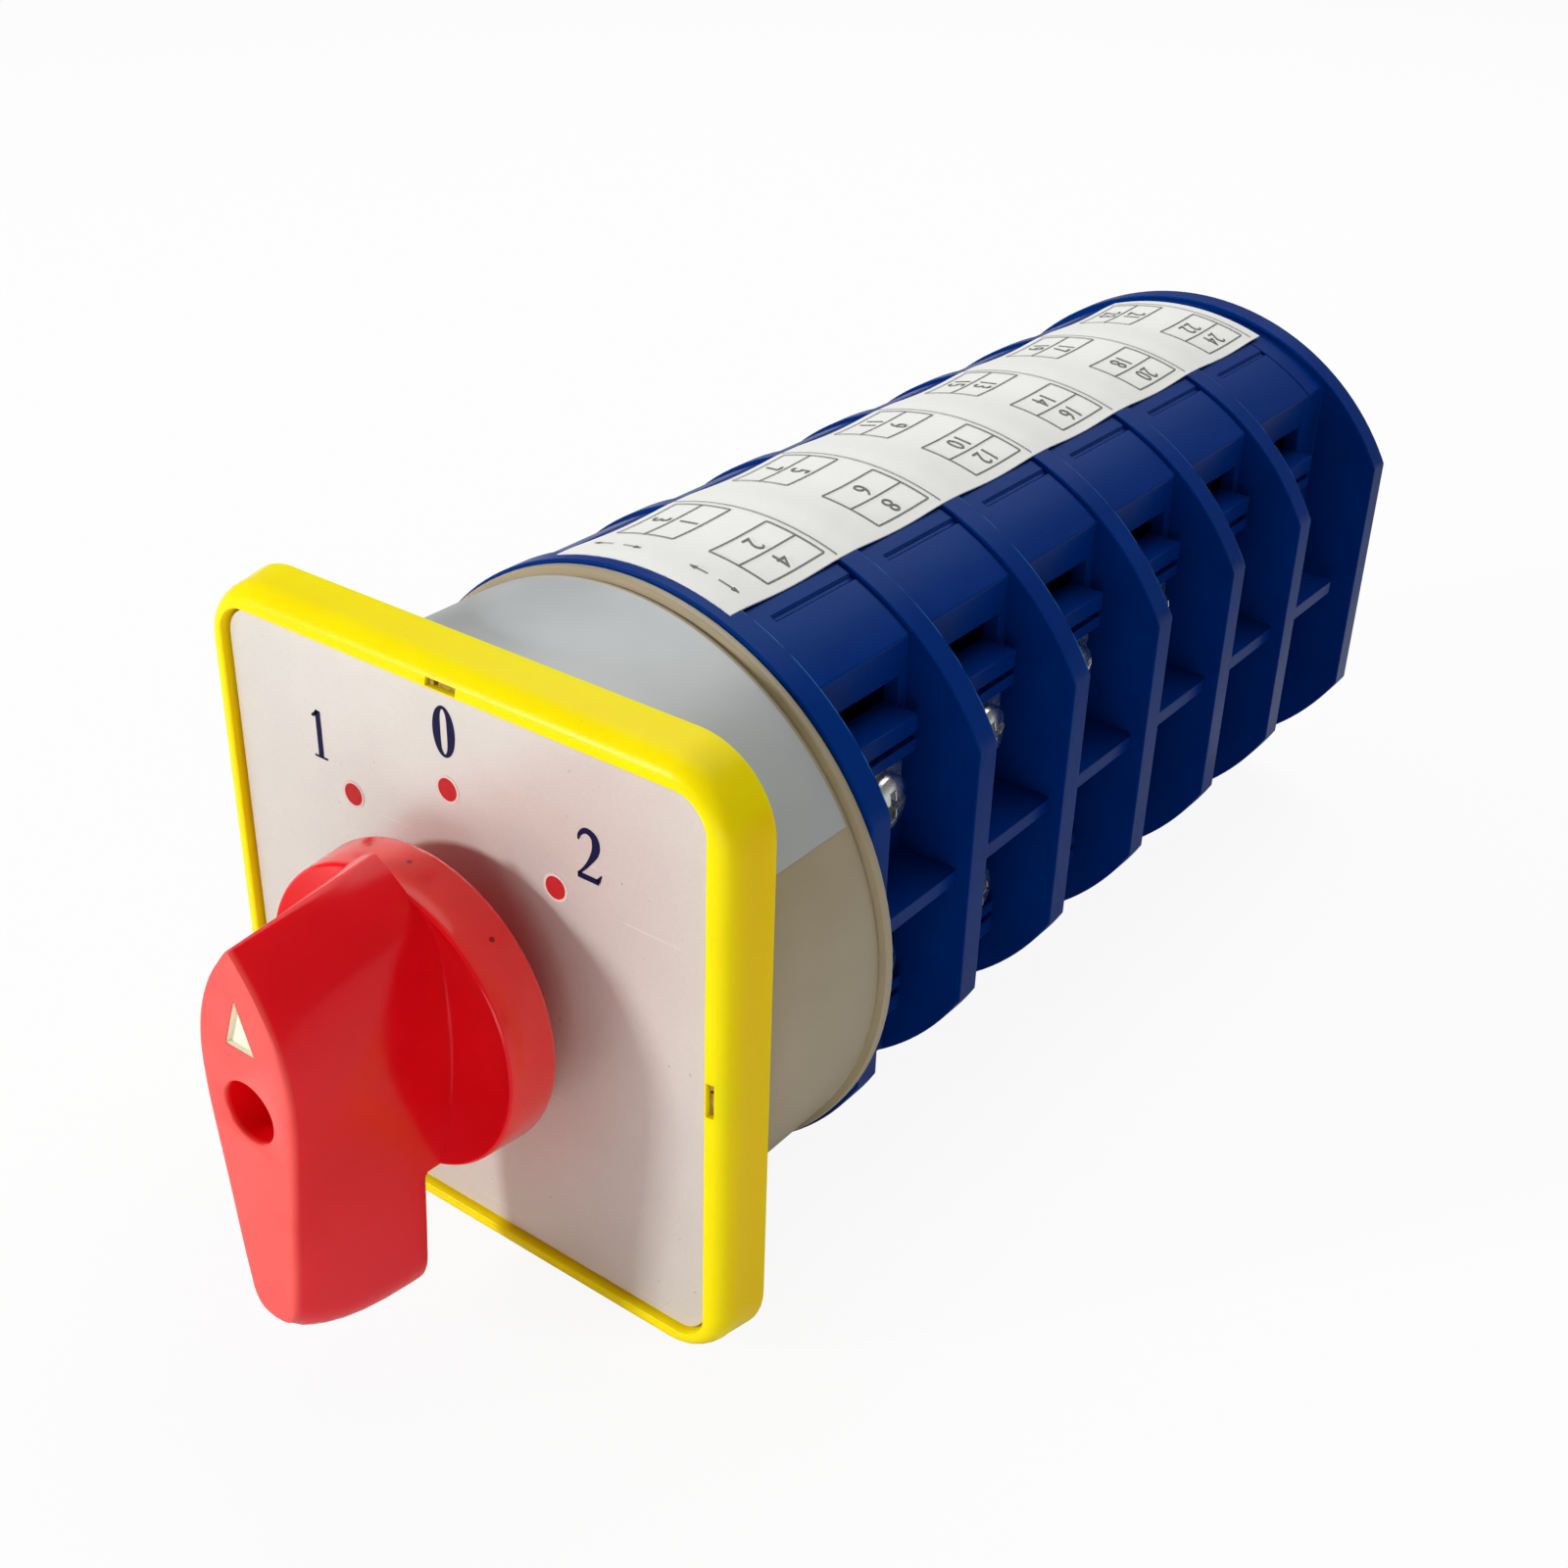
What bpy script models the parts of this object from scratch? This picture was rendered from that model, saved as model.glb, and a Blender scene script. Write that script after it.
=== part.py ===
"""Rotary cam switch: six contact stages behind a square dial with a pointer knob.

World frame in metres: the shaft lies on Y, the dial faces -Y, Z is up, and
X runs to the right as seen from the front. y = 0 is the panel plane, where
the bezel seats in front of the panel and the detent housing behind it.
"""

import math

import bmesh
import bpy
from mathutils import Matrix, Vector

MM = 0.001

# Clearances
SEAT_GAP = 0.3 * MM
RUN_GAP = 0.3 * MM
LABEL_GAP = 0.1 * MM
BITE = 0.4 * MM
OVERCUT = 1.0 * MM

# Stack along the shaft
STAGES = 6
STAGE_PITCH = 18.3 * MM
DETENT_LENGTH = 19.5 * MM
REAR_PLUG_LENGTH = 4.2 * MM

# Bezel and dial plate
BEZEL_HALF = 32.0 * MM
BEZEL_CORNER = 5.5 * MM
BEZEL_DEPTH = 5.3 * MM
BEZEL_DRAFT = 0.9 * MM
BEZEL_ROUNDING = 1.7 * MM
BEZEL_FRAME = 3.1 * MM
BEZEL_FLOOR = 3.2 * MM
BEZEL_BORE = 9.0 * MM
PLATE_THICKNESS = 1.0 * MM
PLATE_CORNER = 3.0 * MM
CLIP_NOTCH_HALF = 1.9 * MM
CLIP_NOTCH_DEPTH = 1.0 * MM
CLIP_NOTCH_QUARTERS = (0, 1)

# Knob
KNOB_HEIGHT = 25.4 * MM
DISC_RADIUS = 15.5 * MM
DISC_DRAFT = 0.4 * MM
DISC_FRONT = 10.6 * MM
DISC_THICKNESS = 6.4 * MM
DISH_RIM = 1.4 * MM
DISH_DEPTH = 1.6 * MM
DISH_SLOPE = 1.5 * MM
HUB_WALL = 1.1 * MM
NOSE_REACH = 15.8 * MM
TAIL_REACH = 23.2 * MM
BELLY_HALF = 5.7 * MM
BELLY_HEIGHT = 2.5 * MM
TAIL_HALF = 2.9 * MM
TAIL_ROUNDING = 2.6 * MM
NOSE_DRAFT = 1.3 * MM
BELLY_DRAFT = 0.6 * MM
TAIL_SPREAD = 1.7 * MM
TAIL_SWELL = 5.0 * MM
TAIL_FULLNESS = 3.3
NOSE_POINTEDNESS = 2.6
GRIP_SECTIONS = 6
OUTLINE_STEPS = 8
TAIL_LIFT = 0.3 * MM
SCREW_POCKET_RADIUS = 3.0 * MM
SCREW_POCKET_DEPTH = 8.0 * MM
SCREW_HOLE_RADIUS = 1.8 * MM
SCREW_HOLE_WEB = 2.0 * MM
ARROW_TOP = 11.2 * MM
ARROW_HEIGHT = 5.0 * MM
ARROW_HALF = 1.8 * MM
ARROW_DEPTH = 0.5 * MM

# Drive shaft, square with a round journal in front and a pin behind
SHAFT_SIDE = 7.0 * MM
JOURNAL_MARGIN = 0.25 * MM
REAR_PIN_STEP = 0.3 * MM
REAR_PIN_LENGTH = 5.5 * MM

# Detent housing and its star wheel
DETENT_STEP = 1.1 * MM
DETENT_WALL = 2.1 * MM
DETENT_FLOOR = 3.0 * MM
LIP_STEP = 0.4 * MM
LIP_WIDTH = 0.8 * MM
STAR_TIP_RADIUS = 11.2 * MM
STAR_NOTCH_DEPTH = 2.0 * MM
STAR_NOTCHES = 8
STEPS_PER_NOTCH = 8
STAR_THICKNESS = 6.0 * MM
PLUNGER_HALF = 3.5 * MM
PLUNGER_NOSE_HALF = 1.0 * MM
PLUNGER_NOSE = 2.5 * MM
PLUNGER_LENGTH = 8.5 * MM
PLUNGER_BORE = 2.4 * MM
PLUNGER_BORE_DEPTH = 4.5 * MM
GUIDE_WALL = 1.6 * MM
GUIDE_SETBACK = 1.2 * MM
SPRING_RADIUS = 1.75 * MM
SPRING_WIRE = 0.3 * MM
SPRING_TURNS = 5
SPRING_STEPS = 9

# Stage housing
FLANGE_RADIUS = 31.8 * MM
FLANGE_THICKNESS = 3.2 * MM
FLAT_CUT = 3.6 * MM
SHELL_STEP = 0.8 * MM
SHELL_WALL = 1.9 * MM
SHELL_ANGLE = math.radians(38.8)
RIB_SETBACK = 1.6 * MM
RIB_THICKNESS = 1.8 * MM
GROOVE_ANGLE = math.radians(23.5)
GROOVE_WIDTH = 0.6 * MM
GROOVE_DEPTH = 0.3 * MM
GROOVE_SETBACK = 2.4 * MM
POCKET_HEIGHT = 3.2 * MM
POCKET_MARGIN = 2.8 * MM
LEDGE_HEIGHT = 2.0 * MM

# Cams and the contact carriers that follow them
CAM_RADIUS = 8.8 * MM
CAM_RISE_PER_RADIAN = 2.0 * MM
CAM_RAMP = math.radians(45.0)
CAM_THICKNESS = 9.0 * MM
CAM_HUB_WALL = 0.8 * MM
FOLLOWER_GAP = 0.35 * MM
FOLLOWER_TIP_HALF = 0.8 * MM
FOLLOWER_TAPER = 3.2 * MM
CARRIER_HALF = 4.0 * MM
CARRIER_HEAD = 3.3 * MM
CARRIER_GUIDE_MARGIN = 0.5 * MM
CARRIER_GUIDE_FROM_CAM = 1.6 * MM
BRIDGE_LIP = 0.3 * MM
BRIDGE_WIDTH = 5.0 * MM
BRIDGE_THICKNESS = 1.2 * MM
CONTACT_FROM_WALL = 6.0 * MM
CONTACT_RADIUS = 1.6 * MM
CONTACT_HEIGHT = 0.8 * MM
CLOSED_CONTACT_GAP = 0.1 * MM

# Terminals
STRIP_WIDTH = 7.0 * MM
STRIP_THICKNESS = 1.0 * MM
STRIP_LIP = 0.4 * MM
STRIP_FLOOR_Z = 14.2 * MM
STRIP_DROP = 9.4 * MM
TERMINAL_OFFSET = 0.9 * MM
SCREW_BELOW_STRIP = 4.5 * MM
SCREW_HEAD_RADIUS = 3.4 * MM
SCREW_HEAD_HEIGHT = 2.3 * MM
SCREW_SHANK_RADIUS = 1.8 * MM
SCREW_SHANK_LENGTH = 5.5 * MM
SHELF_THICKNESS = 1.7 * MM
GUARD_THICKNESS = 0.8 * MM
GUARD_HEIGHT = 1.4 * MM
TERMINAL_BAY_MARGIN = 1.7 * MM

# Tie rods
ROD_FROM_WALL = 3.0 * MM
ROD_RADIUS = 1.6 * MM
ROD_HEAD_RADIUS = 2.8 * MM
ROD_HEAD_HEIGHT = 1.7 * MM
ROD_END_FROM_FLOOR = 3.5 * MM
ROD_BOSS_HALF = 3.0 * MM
ROD_BOSS_FROM_CAM = 1.15 * MM

# Rear cover and contact label
REAR_COVER_STEP = 0.4 * MM
REAR_COVER_THICKNESS = 3.2 * MM
LABEL_ANGLE = math.radians(19.5)
LABEL_THICKNESS = 0.2 * MM
LABEL_FRONT_MARGIN = 1.4 * MM
LABEL_REAR_MARGIN = 2.0 * MM

# Facets of round shapes
WELD_DISTANCE = 0.002 * MM
SMOOTH_ANGLE = math.radians(35.0)
CORNER_STEPS = 6
ROUNDING_STEPS = 4
LARGE_SEGMENTS = 48
MEDIUM_SEGMENTS = 24
SMALL_SEGMENTS = 12
TINY_SEGMENTS = 8
CAM_SEGMENTS = 36

# Places worked out from the sizes above
PLATE_BACK = -(BEZEL_FLOOR + SEAT_GAP)
PLATE_FRONT = PLATE_BACK - PLATE_THICKNESS
PLATE_HALF = BEZEL_HALF - BEZEL_FRAME - SEAT_GAP
KNOB_FRONT = PLATE_FRONT - KNOB_HEIGHT
DISC_FRONT_Y = PLATE_FRONT - DISC_FRONT
DISC_BACK_Y = DISC_FRONT_Y + DISC_THICKNESS
KNOB_BACK = PLATE_FRONT - RUN_GAP
SCREW_POCKET_FLOOR = KNOB_FRONT + SCREW_POCKET_DEPTH
SHAFT_FRONT = SCREW_POCKET_FLOOR + SCREW_HOLE_WEB + SEAT_GAP
SHAFT_CORNER = SHAFT_SIDE / math.sqrt(2)
JOURNAL_RADIUS = SHAFT_CORNER + JOURNAL_MARGIN
SHAFT_HOLE_RADIUS = SHAFT_CORNER + RUN_GAP
REAR_PIN_RADIUS = SHAFT_SIDE / 2 - REAR_PIN_STEP
BORE_SIDE = SHAFT_SIDE + 2 * RUN_GAP
BORE_CORNER = BORE_SIDE / math.sqrt(2)
HUB_RADIUS = BORE_CORNER + HUB_WALL
CAM_HUB_RADIUS = BORE_CORNER + CAM_HUB_WALL
STAGE_REAR = DETENT_LENGTH + STAGES * STAGE_PITCH
REAR_FLANGE_Y = STAGE_REAR + REAR_PLUG_LENGTH
REAR_END = REAR_FLANGE_Y + REAR_COVER_THICKNESS
DETENT_CHAMBER = SEAT_GAP + DETENT_FLOOR
STAR_FRONT = DETENT_CHAMBER + SEAT_GAP + RUN_GAP
PLUNGER_Z = STAR_TIP_RADIUS + RUN_GAP
PLUNGER_TOP_Z = PLUNGER_Z + PLUNGER_LENGTH
PLUNGER_FRONT = DETENT_CHAMBER + RUN_GAP
PLUNGER_BACK = STAR_FRONT + STAR_THICKNESS + RUN_GAP
DETENT_RADIUS = FLANGE_RADIUS - DETENT_STEP
LIP_RADIUS = DETENT_RADIUS + LIP_STEP
FLAT_HALF = FLANGE_RADIUS - FLAT_CUT
RIB_REACH = FLAT_HALF - RIB_SETBACK
SHELL_RADIUS = FLANGE_RADIUS - SHELL_STEP
REAR_COVER_RADIUS = FLANGE_RADIUS + REAR_COVER_STEP
WALL_OUTER_X = SHELL_RADIUS * math.sin(SHELL_ANGLE)
WALL_INNER_X = WALL_OUTER_X - SHELL_WALL
CHAMBER_FRONT = FLANGE_THICKNESS
STAGE_BACK = STAGE_PITCH - SEAT_GAP
CHAMBER_MIDDLE = (CHAMBER_FRONT + STAGE_PITCH) / 2
TERMINAL_Y = CHAMBER_MIDDLE + TERMINAL_OFFSET
ROD_X = WALL_INNER_X - ROD_FROM_WALL
CONTACT_X = WALL_INNER_X - CONTACT_FROM_WALL
STRIP_START_X = CONTACT_X - CONTACT_RADIUS - STRIP_LIP
BRIDGE_HALF = CONTACT_X + CONTACT_RADIUS + BRIDGE_LIP
SCREW_Z = STRIP_FLOOR_Z - SCREW_BELOW_STRIP
STRIP_TOP_Z = STRIP_FLOOR_Z + STRIP_THICKNESS
SLOT_TOP_Z = STRIP_TOP_Z + SEAT_GAP
LEG_INNER_X = WALL_OUTER_X + SEAT_GAP
LEG_OUTER_X = LEG_INNER_X + STRIP_THICKNESS
SCREW_HEAD_X = LEG_OUTER_X + SCREW_HEAD_HEIGHT
CAM_LIFT = CAM_RISE_PER_RADIAN * CAM_RAMP
CAM_REACH = CAM_RADIUS + CAM_LIFT
FOLLOWER_Z = CAM_RADIUS + FOLLOWER_GAP
OPEN_GAP = CAM_LIFT + CLOSED_CONTACT_GAP
FIXED_CONTACT_Z = STRIP_TOP_Z + CONTACT_HEIGHT
BRIDGE_Z = FIXED_CONTACT_Z + OPEN_GAP + CONTACT_HEIGHT
CARRIER_TOP_Z = BRIDGE_Z + BRIDGE_THICKNESS + CARRIER_HEAD
CARRIER_GUIDE_BASE = CAM_REACH + CARRIER_GUIDE_FROM_CAM
CARRIER_GUIDE_TOP = BRIDGE_Z - CAM_LIFT - CARRIER_GUIDE_MARGIN
LABEL_RADIUS = FLANGE_RADIUS + LABEL_GAP
ROD_END_Y = DETENT_CHAMBER + ROD_END_FROM_FLOOR
ROD_HEAD_SEAT = REAR_END - ROD_HEAD_HEIGHT - SEAT_GAP


def clear_scene():
    for item in list(bpy.data.objects):
        bpy.data.objects.remove(item, do_unlink=True)


def new_collection(name):
    collection = bpy.data.collections.new(name)
    bpy.context.scene.collection.children.link(collection)
    return collection


def material(name, colour, roughness, metallic=0.0):
    made = bpy.data.materials.new(name)
    made.use_nodes = True
    shader = made.node_tree.nodes["Principled BSDF"]
    shader.inputs["Base Color"].default_value = (*colour, 1.0)
    shader.inputs["Roughness"].default_value = roughness
    shader.inputs["Metallic"].default_value = metallic
    made.diffuse_color = (*colour, 1.0)
    return made


clear_scene()
PARTS = new_collection("cam_switch")
CUTTERS = new_collection("cutters")

YELLOW = material("yellow_plastic", (0.93, 0.80, 0.02), 0.35)
SILVER = material("silver_plate", (0.74, 0.71, 0.67), 0.45, 0.3)
RED = material("red_plastic", (0.70, 0.01, 0.02), 0.3)
CREAM = material("cream_plastic", (0.60, 0.55, 0.43), 0.4)
BLUE = material("blue_plastic", (0.01, 0.05, 0.28), 0.35)
PAPER = material("label_paper", (0.80, 0.80, 0.78), 0.6)
STEEL = material("zinc_steel", (0.60, 0.60, 0.58), 0.3, 1.0)
SPRING_STEEL = material("spring_steel", (0.35, 0.35, 0.36), 0.35, 1.0)
NICKEL = material("plated_brass", (0.66, 0.62, 0.52), 0.3, 1.0)
WHITE_NYLON = material("white_nylon", (0.75, 0.74, 0.70), 0.45)
BLACK_NYLON = material("black_nylon", (0.03, 0.03, 0.03), 0.5)


def as_object(name, mesh, collection=CUTTERS):
    made = bpy.data.objects.new(name, mesh)
    collection.objects.link(made)
    if collection == CUTTERS:
        made.hide_render = True
        made.display_type = "WIRE"
    return made


def mesh_of(name, bm):
    bmesh.ops.recalc_face_normals(bm, faces=bm.faces)
    mesh = bpy.data.meshes.new(name)
    bm.to_mesh(mesh)
    bm.free()
    return mesh


def add_box(bm, x_range, y_range, z_range, turn=None):
    """Add a box between the given limits, turned about the Y axis afterwards if asked."""
    sizes = [high - low for low, high in (x_range, y_range, z_range)]
    middle = [(low + high) / 2 for low, high in (x_range, y_range, z_range)]
    matrix = Matrix.Translation(middle) @ Matrix.Diagonal((*sizes, 1.0))
    if turn is not None:
        matrix = Matrix.Rotation(turn, 4, "Y") @ matrix
    bmesh.ops.create_cube(bm, size=1.0, matrix=matrix)


def add_rod(bm, axis, radius, start, end, across=(0.0, 0.0), segments=SMALL_SEGMENTS, end_radius=None):
    """Add a round rod or cone along an axis; across gives its place on the other two axes."""
    quarter = math.pi / 2
    turns = {
        "X": Matrix.Rotation(quarter, 4, "Y"),
        "Y": Matrix.Rotation(-quarter, 4, "X"),
        "Z": Matrix.Identity(4),
    }
    middle = list(across)
    middle.insert("XYZ".index(axis), (start + end) / 2)
    bmesh.ops.create_cone(
        bm,
        cap_ends=True,
        segments=segments,
        radius1=radius,
        radius2=radius if end_radius is None else end_radius,
        depth=end - start,
        matrix=Matrix.Translation(middle) @ turns[axis],
    )


def mirrored(side, low, high):
    """Return the range low..high on the positive side or its mirror image."""
    return (low, high) if side > 0 else (-high, -low)


def evaluated_mesh(item):
    bpy.context.view_layer.update()
    depsgraph = bpy.context.evaluated_depsgraph_get()
    mesh = bpy.data.meshes.new_from_object(item.evaluated_get(depsgraph))
    mesh.transform(item.matrix_world)
    return mesh


def weld(mesh):
    bm = bmesh.new()
    bm.from_mesh(mesh)
    bmesh.ops.remove_doubles(bm, verts=bm.verts, dist=WELD_DISTANCE)
    bmesh.ops.recalc_face_normals(bm, faces=bm.faces)
    bm.to_mesh(mesh)
    bm.free()
    return mesh


def prism(name, outline, start, end):
    """Stand a closed (x, z) outline across the shaft and give it depth from start to end."""
    curve = bpy.data.curves.new(name, "CURVE")
    curve.dimensions = "2D"
    curve.fill_mode = "BOTH"
    curve.extrude = (end - start) / 2
    spline = curve.splines.new("POLY")
    spline.points.add(len(outline) - 1)
    for point, (x, z) in zip(spline.points, outline):
        point.co = (x, z, 0.0, 1.0)
    spline.use_cyclic_u = True
    guide = as_object(name, curve)
    guide.rotation_euler.x = math.pi / 2
    guide.location.y = (start + end) / 2
    mesh = weld(evaluated_mesh(guide))
    bpy.data.objects.remove(guide)
    bpy.data.curves.remove(curve)
    return mesh


def tube(name, points, wire_radius):
    """Sweep a round wire through the points."""
    curve = bpy.data.curves.new(name, "CURVE")
    curve.dimensions = "3D"
    curve.bevel_depth = wire_radius
    curve.bevel_resolution = 2
    curve.use_fill_caps = True
    spline = curve.splines.new("POLY")
    spline.points.add(len(points) - 1)
    for point, place in zip(spline.points, points):
        point.co = (*place, 1.0)
    guide = as_object(name, curve)
    mesh = weld(evaluated_mesh(guide))
    bpy.data.objects.remove(guide)
    bpy.data.curves.remove(curve)
    return mesh


def loft(name, sections):
    """Skin closed (x, z) outlines with equal point counts, each given with its y."""
    bm = bmesh.new()
    rings = []
    for y, outline in sections:
        rings.append([bm.verts.new((x, y, z)) for x, z in outline])
    for near, far in zip(rings, rings[1:]):
        for index in range(len(near)):
            after = (index + 1) % len(near)
            bm.faces.new((near[index], near[after], far[after], far[index]))
    bm.faces.new(rings[0])
    bm.faces.new(rings[-1])
    return mesh_of(name, bm)


def solid(name, base, joined=(), removed=()):
    """Join and cut meshes with exact Booleans and return the resulting mesh."""
    item = as_object(name, base)
    tools = []
    for operation, meshes in (("UNION", joined), ("DIFFERENCE", removed)):
        for mesh in meshes:
            tool = as_object(name + "_tool", mesh)
            modifier = item.modifiers.new(operation.lower(), "BOOLEAN")
            modifier.operation = operation
            modifier.solver = "EXACT"
            modifier.object = tool
            tools.append(tool)
    mesh = weld(evaluated_mesh(item))
    for used in (item, *tools):
        bpy.data.objects.remove(used)
    return mesh


def place(name, mesh, look, location=(0.0, 0.0, 0.0), turn=(0.0, 0.0, 0.0), parent=None):
    """Put a finished mesh in the scene as a named piece; copies of a piece share one mesh."""
    if not mesh.materials:
        mesh.materials.append(look)
        mesh.shade_smooth()
        mesh.set_sharp_from_angle(angle=SMOOTH_ANGLE)
    made = as_object(name, mesh, PARTS)
    made.location = location
    made.rotation_euler = turn
    made.parent = parent
    return made


def arc(radius, start, end, steps):
    """Points of an arc; the angle runs from +Z towards +X."""
    angles = [start + (end - start) * index / steps for index in range(steps + 1)]
    return [(radius * math.sin(angle), radius * math.cos(angle)) for angle in angles]


def arc_steps(span):
    return max(2, round(LARGE_SEGMENTS * span / math.tau))


def two_arc_outline(radius, half_width):
    """A circle cut by two upright flats at x = +-half_width."""
    reach = math.asin(half_width / radius)
    steps = arc_steps(2 * reach)
    top = arc(radius, -reach, reach, steps)
    bottom = arc(radius, math.pi - reach, math.pi + reach, steps)
    return top + bottom


def rounded_square(half, corner):
    points = []
    for quadrant in range(4):
        turn = quadrant * math.pi / 2
        centre = Vector((half - corner, half - corner))
        centre.rotate(Matrix.Rotation(-turn, 2))
        for x, z in arc(corner, turn, turn + math.pi / 2, CORNER_STEPS):
            points.append((centre.x + x, centre.y + z))
    return points


def square_bore(start, end):
    bm = bmesh.new()
    half = BORE_SIDE / 2
    add_box(bm, (-half, half), (start, end), (-half, half))
    return mesh_of("square_bore", bm)


def stage_y(stage):
    return DETENT_LENGTH + stage * STAGE_PITCH


# Bezel: a square yellow frame with a floor behind the dial plate
def build_bezel():
    front_outline = rounded_square(BEZEL_HALF - BEZEL_DRAFT, BEZEL_CORNER)
    frame = loft("bezel", [(-BEZEL_DEPTH, front_outline), (0.0, rounded_square(BEZEL_HALF, BEZEL_CORNER))])
    bm = bmesh.new()
    bm.from_mesh(frame)
    front = [face for face in bm.faces if all(vert.co.y < -BEZEL_DEPTH + BITE for vert in face.verts)]
    inside = {edge for face in front for edge in face.edges if all(near in front for near in edge.link_faces)}
    rim = list({edge for face in front for edge in face.edges} - inside)
    bmesh.ops.bevel(
        bm, geom=rim, offset=BEZEL_ROUNDING, segments=ROUNDING_STEPS, profile=0.5, affect="EDGES", material=-1
    )
    body = mesh_of("bezel", bm)
    opening = PLATE_HALF + SEAT_GAP
    opening_outline = rounded_square(opening, PLATE_CORNER + SEAT_GAP)
    recess = prism("recess", opening_outline, -BEZEL_DEPTH - OVERCUT, -BEZEL_FLOOR)
    bm = bmesh.new()
    add_rod(bm, "Y", BEZEL_BORE, -BEZEL_DEPTH, OVERCUT, segments=MEDIUM_SEGMENTS)
    bore = mesh_of("bore", bm)
    bm = bmesh.new()
    for quarter in CLIP_NOTCH_QUARTERS:
        add_box(
            bm,
            (-CLIP_NOTCH_HALF, CLIP_NOTCH_HALF),
            (-BEZEL_DEPTH - OVERCUT, -BEZEL_FLOOR - BITE),
            (opening - BITE, opening + CLIP_NOTCH_DEPTH),
            turn=quarter * math.pi / 2,
        )
    notches = mesh_of("notches", bm)
    return solid("bezel", body, removed=(recess, bore, notches))


# Dial plate: a thin metal plate in the bezel's recess
def build_dial_plate():
    plate = prism("dial_plate", rounded_square(PLATE_HALF, PLATE_CORNER), PLATE_FRONT, PLATE_BACK)
    bm = bmesh.new()
    hole = JOURNAL_RADIUS + RUN_GAP
    add_rod(bm, "Y", hole, PLATE_FRONT - OVERCUT, PLATE_BACK + OVERCUT, segments=MEDIUM_SEGMENTS)
    return solid("dial_plate", plate, removed=(mesh_of("hole", bm),))


def blade_outline(draft):
    """The grip seen from the front: a pointed nose, a belly and a tapering round tail.

    draft is 0 at the front face and 1 at the foot, where the grip is at its widest.
    The tail's underside swells quickly behind the front face and then runs straight.
    """
    belly = BELLY_HALF + draft * BELLY_DRAFT
    nose = NOSE_REACH + draft * NOSE_DRAFT
    tail = TAIL_REACH + TAIL_SWELL * (1.0 - (1.0 - draft) ** TAIL_FULLNESS)
    tail_half = TAIL_HALF + draft * TAIL_SPREAD
    side = []
    for index in range(OUTLINE_STEPS + 1):
        share = 1.0 - index / OUTLINE_STEPS
        height = BELLY_HEIGHT + share * (nose - BELLY_HEIGHT)
        side.append((belly * (1.0 - share ** NOSE_POINTEDNESS), height))
    for index in range(OUTLINE_STEPS + 1):
        angle = index / OUTLINE_STEPS * math.pi / 2
        side.append((tail_half * math.cos(angle), -tail + TAIL_ROUNDING * (1.0 - math.sin(angle))))
    left = [(-x, z) for x, z in reversed(side[1:-1])]
    return side + left


# Knob: a dished disc with a pointer grip across it, on a square bore
def build_knob():
    front_radius = DISC_RADIUS - DISC_DRAFT
    bm = bmesh.new()
    add_rod(
        bm, "Y", front_radius, DISC_FRONT_Y, DISC_BACK_Y, segments=LARGE_SEGMENTS, end_radius=DISC_RADIUS
    )
    disc = mesh_of("disc", bm)
    floor_y = DISC_FRONT_Y + DISH_DEPTH
    rim_radius = front_radius - DISH_RIM
    slope_per_depth = DISH_SLOPE / DISH_DEPTH
    bm = bmesh.new()
    add_rod(
        bm, "Y", rim_radius + OVERCUT * slope_per_depth, DISC_FRONT_Y - OVERCUT, floor_y,
        segments=LARGE_SEGMENTS, end_radius=rim_radius - DISH_SLOPE,
    )
    dished = solid("disc", disc, removed=(mesh_of("dish", bm),))
    foot_y = floor_y + BITE
    drafts = [index / GRIP_SECTIONS for index in range(GRIP_SECTIONS + 1)]
    sections = [(KNOB_FRONT + draft * (foot_y - KNOB_FRONT), blade_outline(draft)) for draft in drafts]
    blade = loft("blade", sections)
    bm = bmesh.new()
    tail_clear = (-TAIL_REACH - TAIL_SWELL - OVERCUT, -DISC_RADIUS - TAIL_LIFT)
    add_box(bm, (-DISC_RADIUS, DISC_RADIUS), (DISC_FRONT_Y - TAIL_LIFT, DISC_BACK_Y), tail_clear)
    trimmed_blade = solid("blade", blade, removed=(mesh_of("tail_clear", bm),))
    bm = bmesh.new()
    add_rod(bm, "Y", HUB_RADIUS, DISC_BACK_Y - BITE, KNOB_BACK, segments=MEDIUM_SEGMENTS)
    hub = mesh_of("hub", bm)
    bm = bmesh.new()
    pocket_y = (KNOB_FRONT - OVERCUT, SCREW_POCKET_FLOOR)
    add_rod(bm, "Y", SCREW_POCKET_RADIUS, *pocket_y, segments=MEDIUM_SEGMENTS)
    pocket = mesh_of("pocket", bm)
    bm = bmesh.new()
    add_rod(bm, "Y", SCREW_HOLE_RADIUS, SCREW_POCKET_FLOOR - OVERCUT, SHAFT_FRONT)
    screw_hole = mesh_of("screw_hole", bm)
    arrow_base = ARROW_TOP - ARROW_HEIGHT
    arrow = [(0.0, ARROW_TOP), (ARROW_HALF, arrow_base), (-ARROW_HALF, arrow_base)]
    arrow_cut = prism("arrow", arrow, KNOB_FRONT - OVERCUT, KNOB_FRONT + ARROW_DEPTH)
    bore = square_bore(SHAFT_FRONT - SEAT_GAP, KNOB_BACK + OVERCUT)
    return solid("knob", dished, joined=(trimmed_blade, hub), removed=(pocket, screw_hole, arrow_cut, bore))


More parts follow.
